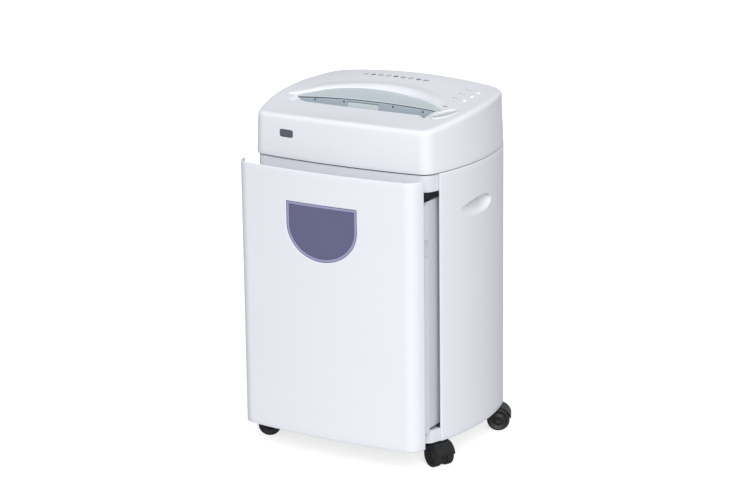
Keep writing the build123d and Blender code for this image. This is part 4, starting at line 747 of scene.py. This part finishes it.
def build_throat_wall():
    """The rear wall below the ramp's edge, with the flap's window, and a dark sheet behind it that paints the deep
    throat's shade.
    """
    wall_x = np.linspace(MOUTH_CORNER[0] + 2, MOUTH_RIGHT - 0.5, 70)
    top = np.column_stack([wall_x, ramp_height(wall_x, RAMP_FRONT) - WALL_GAP])[::-1]
    bottom = np.column_stack([wall_x, np.full(len(wall_x), RAMP_CREST - WALL_DROP)])
    window = box_loop(FLAP_LEFT - 0.8, FLAP_RIGHT + 0.8, FLAP_BOTTOM - 0.8, FLAP_TOP + 0.8, 1.2)
    lattice = lattice_of(wall_x[::2], np.arange(RAMP_CREST - WALL_DROP, RAMP_CREST, 3.0))
    face, found = trimmed(np.vstack([bottom, top]), [window], lattice, 0.8)
    points = np.column_stack([face[:, 0], throat_wall_y(face[:, 1]), face[:, 1]])
    # the wall takes the darker copy of the guide plastic: painted shade under the ramp
    piece("throat_wall", points, found, FIXED_BODY, guide_painted_shade_grey, wall=1.2, bevel=0.25,
          outward=(0, -1, 0))

    # a dark sheet behind the wall: painted shade for the depth of the throat
    backing_x = np.linspace(MOUTH_CORNER[0] - 2, MOUTH_RIGHT + 2, 40)
    rows = np.linspace(0, 1, 6)[:, None]
    upper = ramp_height(backing_x, RAMP_FRONT) - 1.2
    z = upper - rows * (WALL_DROP - 2)
    y = throat_wall_y(z) + BACKING_GAP
    points = np.dstack([np.broadcast_to(backing_x, z.shape), y, z]).reshape(-1, 3)
    piece("throat_shade_sheet", points, grid_faces(*z.shape), FIXED_BODY, throat_painted_shade,
          wall=0.8, outward=(0, -1, 0))


def build_guide_screws_and_flap():
    """Four domed screw heads on the throat's wall, and the plate that the paper pushes back."""
    rings = [(0.04, 0.75), (0.5, 0.7), (0.85, 0.5), (1.0, 0.1), (1.0, -1.5)]
    turn = full_turn(20)
    points, faces = [], []
    for x, drop in GUIDE_SCREWS:
        faces.append(grid_faces(len(rings), len(turn), close_columns=True) + len(points) * len(turn))
        for grow, proud in rings:
            across = GUIDE_SCREW_RADIUS * grow * np.cos(turn)
            height = RAMP_CREST - drop + GUIDE_SCREW_RADIUS * grow * np.sin(turn)
            points.append(np.column_stack([x + across, throat_wall_y(height) - proud, height]))
    piece("guide_screw_heads", np.vstack(points), np.vstack(faces), FIXED_BODY, screw_dark,
          ("throat_screws",))

    outline = box_loop(FLAP_LEFT, FLAP_RIGHT, FLAP_BOTTOM, FLAP_TOP, 1.4)
    lattice = lattice_of(np.linspace(FLAP_LEFT, FLAP_RIGHT, 22), np.linspace(FLAP_BOTTOM, FLAP_TOP, 7))
    face, found = trimmed(outline, [], lattice, 0.8)
    points = np.column_stack([face[:, 0], throat_wall_y(face[:, 1]) + 0.4, face[:, 1]])
    # the flap takes the lighter, painted-lit copy of the guide plastic
    piece("flap_plate", points, found, "flap", ramp_painted_lit_grey, ("sensor_flap",), wall=1.2,
          bevel=0.3, outward=(0, -1, 0))


def build_cheeks():
    """The mouth's two end walls, which curve inwards going down; the left one is slanted."""
    left_end, right_end = np.array([MOUTH_LEFT, MOUTH_FRONT]), np.array([MOUTH_RIGHT, MOUTH_FRONT])
    for name, side, start, end, lean_in in (
        ("throat_cheek_left", 1, MOUTH_CORNER, left_end, (3.0, 2.0)),
        ("throat_cheek_right", -1, right_end, np.array([MOUTH_RIGHT, RAMP_FRONT]), (-2.0, 0.0)),
    ):
        share = np.linspace(0, 1, 16)[None, :, None]
        down = np.linspace(0, 1, 8)[:, None, None]
        line = start + share * (end - start) + down ** 1.5 * np.array(lean_in)
        height = deck_height(line[..., 0], line[..., 1]) - 2.6 - down[..., 0] * 20.0
        points = np.dstack([line, height]).reshape(-1, 3)
        # the cheeks take the darker copy of the guide plastic: painted shade inside the mouth
        piece(name, points, grid_faces(*height.shape), FIXED_BODY, guide_painted_shade_grey, wall=1.5,
              outward=(side, 0, 0))


def deck_frame(spot):
    """Centre, long axis, cross axis and normal of the deck at a spot, the long axis turned as the rocker."""
    step = 0.5
    slope_x = (crown_height(spot[0] + step, spot[1]) - crown_height(spot[0] - step, spot[1])) / (2 * step)
    slope_y = (crown_height(spot[0], spot[1] + step) - crown_height(spot[0], spot[1] - step)) / (2 * step)
    normal = np.array([-slope_x, -slope_y, 1.0])
    normal /= np.linalg.norm(normal)
    turn = math.radians(ROCKER_TURN)
    long_axis = np.array([math.cos(turn), math.sin(turn), 0.0])
    long_axis -= normal * (long_axis @ normal)
    long_axis /= np.linalg.norm(long_axis)
    centre = np.array([spot[0], spot[1], crown_height(*spot)])
    return centre, long_axis, np.cross(normal, long_axis), normal


def build_rocker():
    """A raised oval rim swept round the rocker, and the rocker: an oval cap dished along its length."""
    centre, long_axis, cross_axis, normal = deck_frame(ROCKER_AT)
    turn = full_turn(96)[:, None]
    line = centre + ROCKER_LONG * np.cos(turn) * long_axis + ROCKER_WIDE * np.sin(turn) * cross_axis
    out = ROCKER_WIDE * np.cos(turn) * long_axis + ROCKER_LONG * np.sin(turn) * cross_axis
    out /= np.linalg.norm(out, axis=1, keepdims=True)
    round_top = np.linspace(0, math.pi, 9)
    rim = np.column_stack([1.3 + 1.3 * np.cos(round_top), 0.2 + 1.2 * np.sin(round_top)])
    profile = np.vstack([[(2.6, -5.0)], rim, [(0.0, -9.0), (1.2, -9.0)]])
    points, faces = swept(line, out, np.tile(normal, (96, 1)), profile)
    piece("rocker_rim", points, faces, FIXED_BODY, white_shell, ("rocker_bezel",))

    rings = np.concatenate([np.linspace(0, 0.9, 14), [0.95, 0.98, 1.0]])[:, None]
    angle = full_turn(72)[None]
    a = (ROCKER_LONG - 1.5) * rings * np.cos(angle)
    b = (ROCKER_WIDE - 0.5) * rings * np.sin(angle)
    dish = 2.2 * (1 - (a / ROCKER_LONG) ** 2) * (1 - 0.35 * (b / ROCKER_WIDE) ** 2)
    edge = 0.8 * (1 - np.sqrt(np.clip(1 - np.clip((rings - 0.9) / 0.1, 0, 1) ** 2, 0, 1)))
    height = -0.8 - dish - edge
    top = centre + a[..., None] * long_axis + b[..., None] * cross_axis + height[..., None] * normal
    skirt = top[-1:] - normal * 4.0
    floor_ring = centre + (top[-1:] - centre) * 0.02 - normal * 9.0
    points = np.concatenate([top, skirt, floor_ring]).reshape(-1, 3)
    piece("rocker_cap", points, grid_faces(len(rings) + 2, 72, close_columns=True), "rocker", rocker_grey,
          ("mode_rocker",))


def build_buttons():
    """Pill caps: nested slots that rise in a soft dome and run down as a straight skirt."""
    layers = [(0.05, 0.0), (0.5, -0.05), (0.75, -0.18), (0.9, -0.45), (0.98, -0.9), (1.0, -1.4), (1.0, -8.0),
              (0.05, -8.2)]
    for key, spot in zip(BUTTONS, button_spots):
        top_z = crown_height(*spot) + BUTTON_PROUD
        rings = []
        for grow, fall in layers:
            loop = slot_loop(spot, max(0.16, BUTTON_LONG * grow), max(0.1, BUTTON_WIDE * grow), 12)
            rings.append(np.column_stack([loop, np.full(len(loop), top_z + fall)]))
        piece(f"{key}_cap", np.concatenate(rings), grid_faces(len(layers), 24, close_columns=True),
              f"{key}_key", button_white, (f"{key}_button",))


def printed(name, loops, height):
    """Thin printed marks: flat closed shapes lying a hair above the deck."""
    points, faces, count = [], [], 0
    for outer, holes in loops:
        flat, found = trimmed(outer, holes, np.empty((0, 2)))
        points.append(np.column_stack([flat, crown_height(flat[:, 0], flat[:, 1]) + height]))
        faces += (found + count).tolist()
        count += len(flat)
    piece(name, np.vstack(points), faces, FIXED_BODY, print_grey, wall=0.06, weld=False, outward=(0, 0, 1))


def build_marks():
    """A row of plain pictograms on the deck, dashes beside the controls and a mark by the rocker."""
    loops = []
    for number in range(9):
        share = number / 8
        x, y = -84 + share * 120, 93 - 5 * share
        kind = number % 3
        if kind == 0:
            outer = box_loop(x - 3.2, x + 3.2, y - 4.2, y + 4.2, 0.6, 3)
            loops.append((outer, [box_loop(x - 2.1, x + 2.1, y - 3.1, y + 3.1, 0.3, 3)]))
        elif kind == 1:
            loops.append((oval((x, y), 4.2, 4.2, 28), [oval((x, y), 1.5, 1.5, 16)]))
        else:
            outer = box_loop(x - 4.6, x + 4.6, y - 3.0, y + 3.0, 0.8, 3)
            loops.append((outer, [box_loop(x - 3.6, x + 3.6, y - 0.4, y + 2.0, 0.3, 3)]))
    for spot in button_spots:
        loops.append((box_loop(LENS_X - 9, LENS_X - 4.5, spot[1] + 4.2, spot[1] + 5.8, 0.6, 3), []))
    loops.append((box_loop(124, 133, -14.0, -11.6, 0.8, 3), []))
    printed("deck_marks", loops, 0.05)


BADGE_X, BADGE_HEIGHT = -99.0, 41.0
BADGE_HALF_LONG, BADGE_HALF_HIGH = 13.5, 6.5
BADGE_POWER = 0.35          # 1 would give an oval, 0 a rectangle


def build_badge():
    """A plain badge with no lettering: a nearly square-cornered plate with a rounded edge."""
    rings = np.array([0.02, 0.5, 0.85, 0.95, 1.0, 1.0])[:, None]
    proud = np.array([0.75, 0.75, 0.7, 0.55, 0.2, -0.6])[:, None]
    angle = full_turn(64)[None]
    a = BADGE_HALF_LONG * rings * np.sign(np.cos(angle)) * np.abs(np.cos(angle)) ** BADGE_POWER
    b = BADGE_HALF_HIGH * rings * np.sign(np.sin(angle)) * np.abs(np.sin(angle)) ** BADGE_POWER
    flat = np.dstack([run_at_x(BADGE_X) + a, HEAD_BOTTOM + BADGE_HEIGHT + b])
    points = on_plan(flat, head_lean(flat[..., 1]) - proud)
    piece("badge_plate", points, grid_faces(*a.shape, close_columns=True), FIXED_BODY, badge_dark)


# === cabinet and drawer ===
WINDOW_X = (low("window_lens")[0] + high("window_lens")[0]) / 2
WINDOW_HALF = (high("window_lens")[0] - low("window_lens")[0]) / 2 + GAP
WINDOW_TOP = high("window_lens")[2] + GAP
WINDOW_STRAIGHT = 38.0
WINDOW_ROUND = WINDOW_TOP - WINDOW_STRAIGHT - low("window_lens")[2] + GAP
WINDOW_CORNER = 2.0
NEAR_RINGS = (2.0, 5.0)     # rings of points round a hole, so that the triangles beside it stay small


def window_loop(grow):
    """The D: straight top and sides, half an ellipse below, with slightly rounded upper corners."""
    waist = WINDOW_TOP - WINDOW_STRAIGHT
    half = WINDOW_HALF + grow
    turn = np.linspace(0, -math.pi, 60)
    bowl = np.column_stack([half * np.cos(turn), waist + (WINDOW_ROUND + grow) * np.sin(turn)])
    corner = max(0.6, WINDOW_CORNER + grow)
    top = WINDOW_TOP + grow
    quarter = np.linspace(0, math.pi / 2, 6)
    left = np.column_stack([-half + corner * (1 - np.cos(quarter)), top - corner * (1 - np.sin(quarter))])
    right = left[::-1] * (-1, 1)
    side = np.linspace(0, 1, 8)[1:-1, None]
    left_side = bowl[-1] + side * (left[0] - bowl[-1])
    right_side = right[-1] + side * (bowl[0] - right[-1])
    top_edge = left[-1] + np.linspace(0, 1, 24)[1:-1, None] * (right[0] - left[-1])
    loop = np.vstack([bowl, left_side, left, top_edge, right, right_side])
    loop[:, 0] = run_at_x(loop[:, 0] + WINDOW_X)
    return loop


def build_drawer():
    """The bowed front with side returns and its window hole, a dark ring of painted gap shade round the hole, and
    the window's rim, painted lighter as if lit, and smoky pane.
    """
    end = run_at_depth(high("drawer_front")[1] - MIDDLE + DRAWER_OUT)
    bottom, top = low("drawer_front")[2], high("drawer_front")[2]
    near = np.vstack([window_loop(grow) for grow in NEAR_RINGS])
    points, faces = wall_sheet(run_marks(-end, end), bottom, top, 48, [window_loop(0)], forward=DRAWER_OUT,
                               near=near)
    piece("drawer_panel", points, faces, DRAWER_BODY, white_shell, ("drawer_front",),
          wall=WALL, bevel=0.9, outward=(0, -1, 0))

    for name, grow, hole, sunk, thick, finish, slot, stands_for in (
        # a dark ring at the window's edge: painted shade of the gap
        ("window_gap_shade_ring", -0.05, -1.0, 0.7, 1.6, window_gap_painted_shade, "smoke_lens", ()),
        # the window's rim, coloured lighter as painted light on its raised lip
        ("window_frame", -1.0, -4.6, 0.9, 1.8, smoke_rim_painted_lit, "bin_plastic", ("window_bezel",)),
    ):
        outer, inner = window_loop(grow), window_loop(hole)
        lattice = np.vstack([window_loop(grow + share * (hole - grow)) for share in (0.35, 0.7)])
        flat, found = trimmed(outer, [inner], lattice, clear=0.1)
        piece(name, on_plan(flat, sunk, DRAWER_OUT), found, DRAWER_BODY, finish, stands_for, wall=thick,
              bevel=0.25, outward=(0, -1, 0))

    outer = window_loop(-4.5)
    columns = np.linspace(outer[:, 0].min(), outer[:, 0].max(), 24)
    rows = np.linspace(outer[:, 1].min(), outer[:, 1].max(), 18)
    flat, found = trimmed(outer, [], lattice_of(columns, rows))
    piece("window_pane", on_plan(flat, 1.5, DRAWER_OUT), found, DRAWER_BODY, smoke, ("window_lens",),
          wall=1.3, bevel=0.3, outward=(0, -1, 0))


SCOOP_Y, SCOOP_Z = -11.0, (low("handle_cup_right")[2] + high("handle_cup_right")[2]) / 2
SCOOP_HALF_LONG, SCOOP_HALF_HIGH, SCOOP_DEEP = 50.0, 17.0, 13.5


def scoop_loop(grow=0.0):
    """Edge of a hand scoop: pointed and low at the front, full at the back."""
    turn = full_turn(72)
    along_y = (SCOOP_HALF_LONG + grow) * np.cos(turn)
    share = 0.5 + 0.5 * np.cos(turn)
    high_part = np.where(np.sin(turn) > 0, 0.55 + 0.45 * share, 0.7 + 0.3 * share)
    up = (SCOOP_HALF_HIGH + grow) * np.sin(turn) * high_part
    return np.column_stack([along_y, up])


def build_sides():
    """Bowed side panels with the rounded rear corners, and their dished hand scoops."""
    for side_name, side in (("left", -1), ("right", 1)):
        node = f"side_panel_{side_name}"
        start = run_at_depth(low(node)[1] - MIDDLE)
        stop = float(run_at_x(high("back_panel")[0] + GAP, back=True))
        middle = run_at_depth(SCOOP_Y)
        marks = np.sort(side * run_marks(start, stop))
        loop = scoop_loop()

        def placed(flat):
            return np.stack([side * (middle + flat[..., 0]), SCOOP_Z + flat[..., 1]], -1)

        hole = placed(loop)
        ring = [placed(scoop_loop(grow)) for grow in NEAR_RINGS]
        points, faces = wall_sheet(marks, low(node)[2], high(node)[2], 48, [hole], near=np.vstack(ring))
        piece(f"side_skin_{side_name}", points, faces, FIXED_BODY, white_shell, (node,),
              wall=WALL, bevel=0.8, outward=(side, 0, 0))

        rings = np.concatenate([np.linspace(0.02, 0.84, 14), [0.9, 0.95, 0.98, 1.0]])[:, None, None]
        flat = loop[None] * rings
        back = 0.5 + 0.5 * flat[..., 0] / SCOOP_HALF_LONG
        upper = 0.5 + 0.5 * flat[..., 1] / SCOOP_HALF_HIGH
        steep = 1 - rings[..., 0] ** (2.2 + 7 * upper * back)
        deep = SCOOP_DEEP * steep * (0.18 + 0.82 * smoothstep(back * 1.15)) * (0.5 + 0.5 * upper)
        points = on_plan(placed(flat), 0.35 + deep)
        piece(f"hand_scoop_{side_name}", points, grid_faces(len(rings), len(loop), close_columns=True),
              FIXED_BODY, white_shell, (f"handle_cup_{side_name}",), wall=1.6,
              outward=(side, 0, 0))


def build_rail():
    """The rail that shows over the open drawer."""
    end = run_at_depth(high("front_rail")[1] - MIDDLE)
    points, faces = wall_sheet(run_marks(-end, end), low("front_rail")[2], high("front_rail")[2], 5,
                               inset=WALL + GAP)
    piece("rail_strip", points, faces, FIXED_BODY, inner_white, ("front_rail",), wall=WALL,
          bevel=0.8, outward=(0, -1, 0))


# === casters ===
WHEEL_RADIUS = 19.5
WHEEL_WIDTH = 13.0
WHEEL_SHIFT = 11.5          # of each wheel from the fork's middle
HOOD_HALF = WHEEL_WIDTH + 5.0


def wheel_profile():
    """Half section of a caster wheel: bored hub, dished web, rounded tread."""
    shoulder = np.linspace(0, math.pi / 2, 6)
    half, soft = WHEEL_WIDTH / 2, 2.6
    right = np.column_stack([WHEEL_RADIUS - soft + soft * np.cos(shoulder[::-1]),
                             half - soft + soft * np.sin(shoulder[::-1])])
    web = np.array([(3.1, half - 0.4), (7.0, half - 0.4), (8.0, half - soft), (13.5, half - soft), (14.6, half)])
    outer = np.vstack([web, right])
    return np.vstack([outer, (outer * (1, -1))[::-1]])


def build_casters():
    """Twin wheels turned from one section, under a hood whose section is carried round them."""
    for end in ("front", "rear"):
        for side in ("left", "right"):
            name = f"{end}_{side}"
            joint = next(j for j in frame["joints"] if j["name"] == f"roll_{name}")
            centre = np.array(joint["pos_m"]) / MM - (0, MIDDLE, 0)
            axle = np.array(joint["axis"], float)
            for number, shift in ((1, -WHEEL_SHIFT), (2, WHEEL_SHIFT)):
                points, faces = turned(centre + axle * shift, axle, wheel_profile(), 72)
                piece(f"wheel_{name}_{number}", points, faces, f"wheels_{name}", tread_black,
                      (f"caster_wheels_{name}",) if number == 1 else ())
            forward = np.cross(axle, (0, 0, 1.0))
            turn = np.linspace(math.radians(8), math.radians(172), 40)[:, None]
            out = np.cos(turn) * forward + np.sin(turn) * np.array([0, 0, 1.0])
            line = centre + WHEEL_RADIUS * out
            section = np.array([(1.1, -HOOD_HALF), (2.2, -HOOD_HALF), (2.9, -HOOD_HALF + 1.2),
                                (2.9, HOOD_HALF - 1.2), (2.2, HOOD_HALF), (1.1, HOOD_HALF)])
            points = line[:, None] + out[:, None] * section[None, :, :1] + axle * section[None, :, 1:]
            faces = [*grid_faces(40, 6, close_columns=True).tolist(), list(range(5, -1, -1)),
                     list(range(39 * 6, 40 * 6))]
            piece(f"caster_hood_{name}", points.reshape(-1, 3), faces, f"caster_{name}", caster_black,
                  bevel=0.4)


build_head_shell()
build_ramp()
build_throat_wall()
build_guide_screws_and_flap()
build_cheeks()
build_rocker()
build_buttons()
build_marks()
build_badge()
build_drawer()
build_sides()
build_rail()
build_casters()

# === studio ===
FLOOR_HALF, FLOOR_Z = 30.0, -0.0006      # metres
FLOOR_GLOW = 0.72           # the floor shines only towards the viewer, so that it doesn't light the object
floor_mesh = bpy.data.meshes.new("studio_floor")
floor_corners = [(x * FLOOR_HALF, y * FLOOR_HALF, FLOOR_Z) for x, y in ((-1, -1), (1, -1), (1, 1), (-1, 1))]
floor_mesh.from_pydata(floor_corners, [], [(0, 1, 2, 3)])
floor = bpy.data.objects.new("studio_floor", floor_mesh)
scene.collection.objects.link(floor)
paper, paper_tree, paper_shader = new_material("studio_paper")
paper_surface = use_group(paper_tree, MOULDED, Grain_Size=300.0, Cloud_Size=0.6)
clouded_paper = blend_colours(paper_tree, paper_surface.outputs["Cloud"], (0.43,) * 3, (0.47,) * 3)
glow = paper_tree.nodes.new("ShaderNodeMath")
glow.operation = "MULTIPLY"
glow.inputs[1].default_value = FLOOR_GLOW
paper_tree.links.new(add_node(paper_tree, "LightPath").outputs["Is Camera Ray"], glow.inputs[0])
set_inputs(paper_tree, paper_shader, Base_Color=clouded_paper, Roughness=0.9, Emission_Color=(1, 1, 1, 1),
           Emission_Strength=glow.outputs["Value"])
floor_mesh.materials.append(paper)

world = bpy.data.worlds.new("studio")
scene.world = world
world.use_nodes = True
set_inputs(world.node_tree, world.node_tree.nodes["Background"], Color=(0.96, 0.98, 1.0, 1.0), Strength=0.5)


def studio_lamp(data, aim, place=(0.0, 0.0, 0.0)):
    """Puts a light at a place, shining along a direction."""
    lamp = bpy.data.objects.new(data.name, data)
    lamp.location = place
    lamp.rotation_mode = "QUATERNION"
    lamp.rotation_quaternion = Vector(aim).to_track_quat("-Z", "Y")
    scene.collection.objects.link(lamp)


fill = bpy.data.lights.new("tall_right", "AREA")
fill.shape = "SQUARE"
fill.size = 0.9
fill.energy = 12
fill_place = Vector((3.1, -3.3, 1.5))
studio_lamp(fill, Vector((0.0, 0.03, 0.32)) - fill_place, fill_place)

key_light = bpy.data.lights.new("big_softbox", "SUN")
key_light.energy = 3.24
key_light.angle = math.radians(45)
studio_lamp(key_light, (-0.454, 0.693, -0.559))


def set_camera():
    """A long lens well back: turned about the object's middle, tipped down, with a slight roll."""
    turn, tip, roll = math.radians(30.85), math.radians(15.99), math.radians(-0.69)
    distance = 4.3961
    target = Vector((-0.0154, MIDDLE * MM, 0.3193))
    back = Vector((math.sin(turn) * math.cos(tip), -math.cos(turn) * math.cos(tip), math.sin(tip)))
    right = (-back).cross(Vector((0, 0, 1))).normalized()
    up = right.cross(-back)
    rolled_right = right * math.cos(roll) + up * math.sin(roll)
    rolled_up = up * math.cos(roll) - right * math.sin(roll)
    data = bpy.data.cameras.new("camera")
    data.sensor_width = 36.0
    data.lens = 2601.02 * 36.0 / 750.0
    data.clip_start, data.clip_end = 0.1, 100.0
    camera = bpy.data.objects.new("camera", data)
    turned_to = Matrix((rolled_right, rolled_up, back)).transposed().to_4x4()
    camera.matrix_world = Matrix.Translation(target + back * distance) @ turned_to
    scene.collection.objects.link(camera)
    scene.camera = camera


set_camera()
scene.view_settings.view_transform = "Standard"
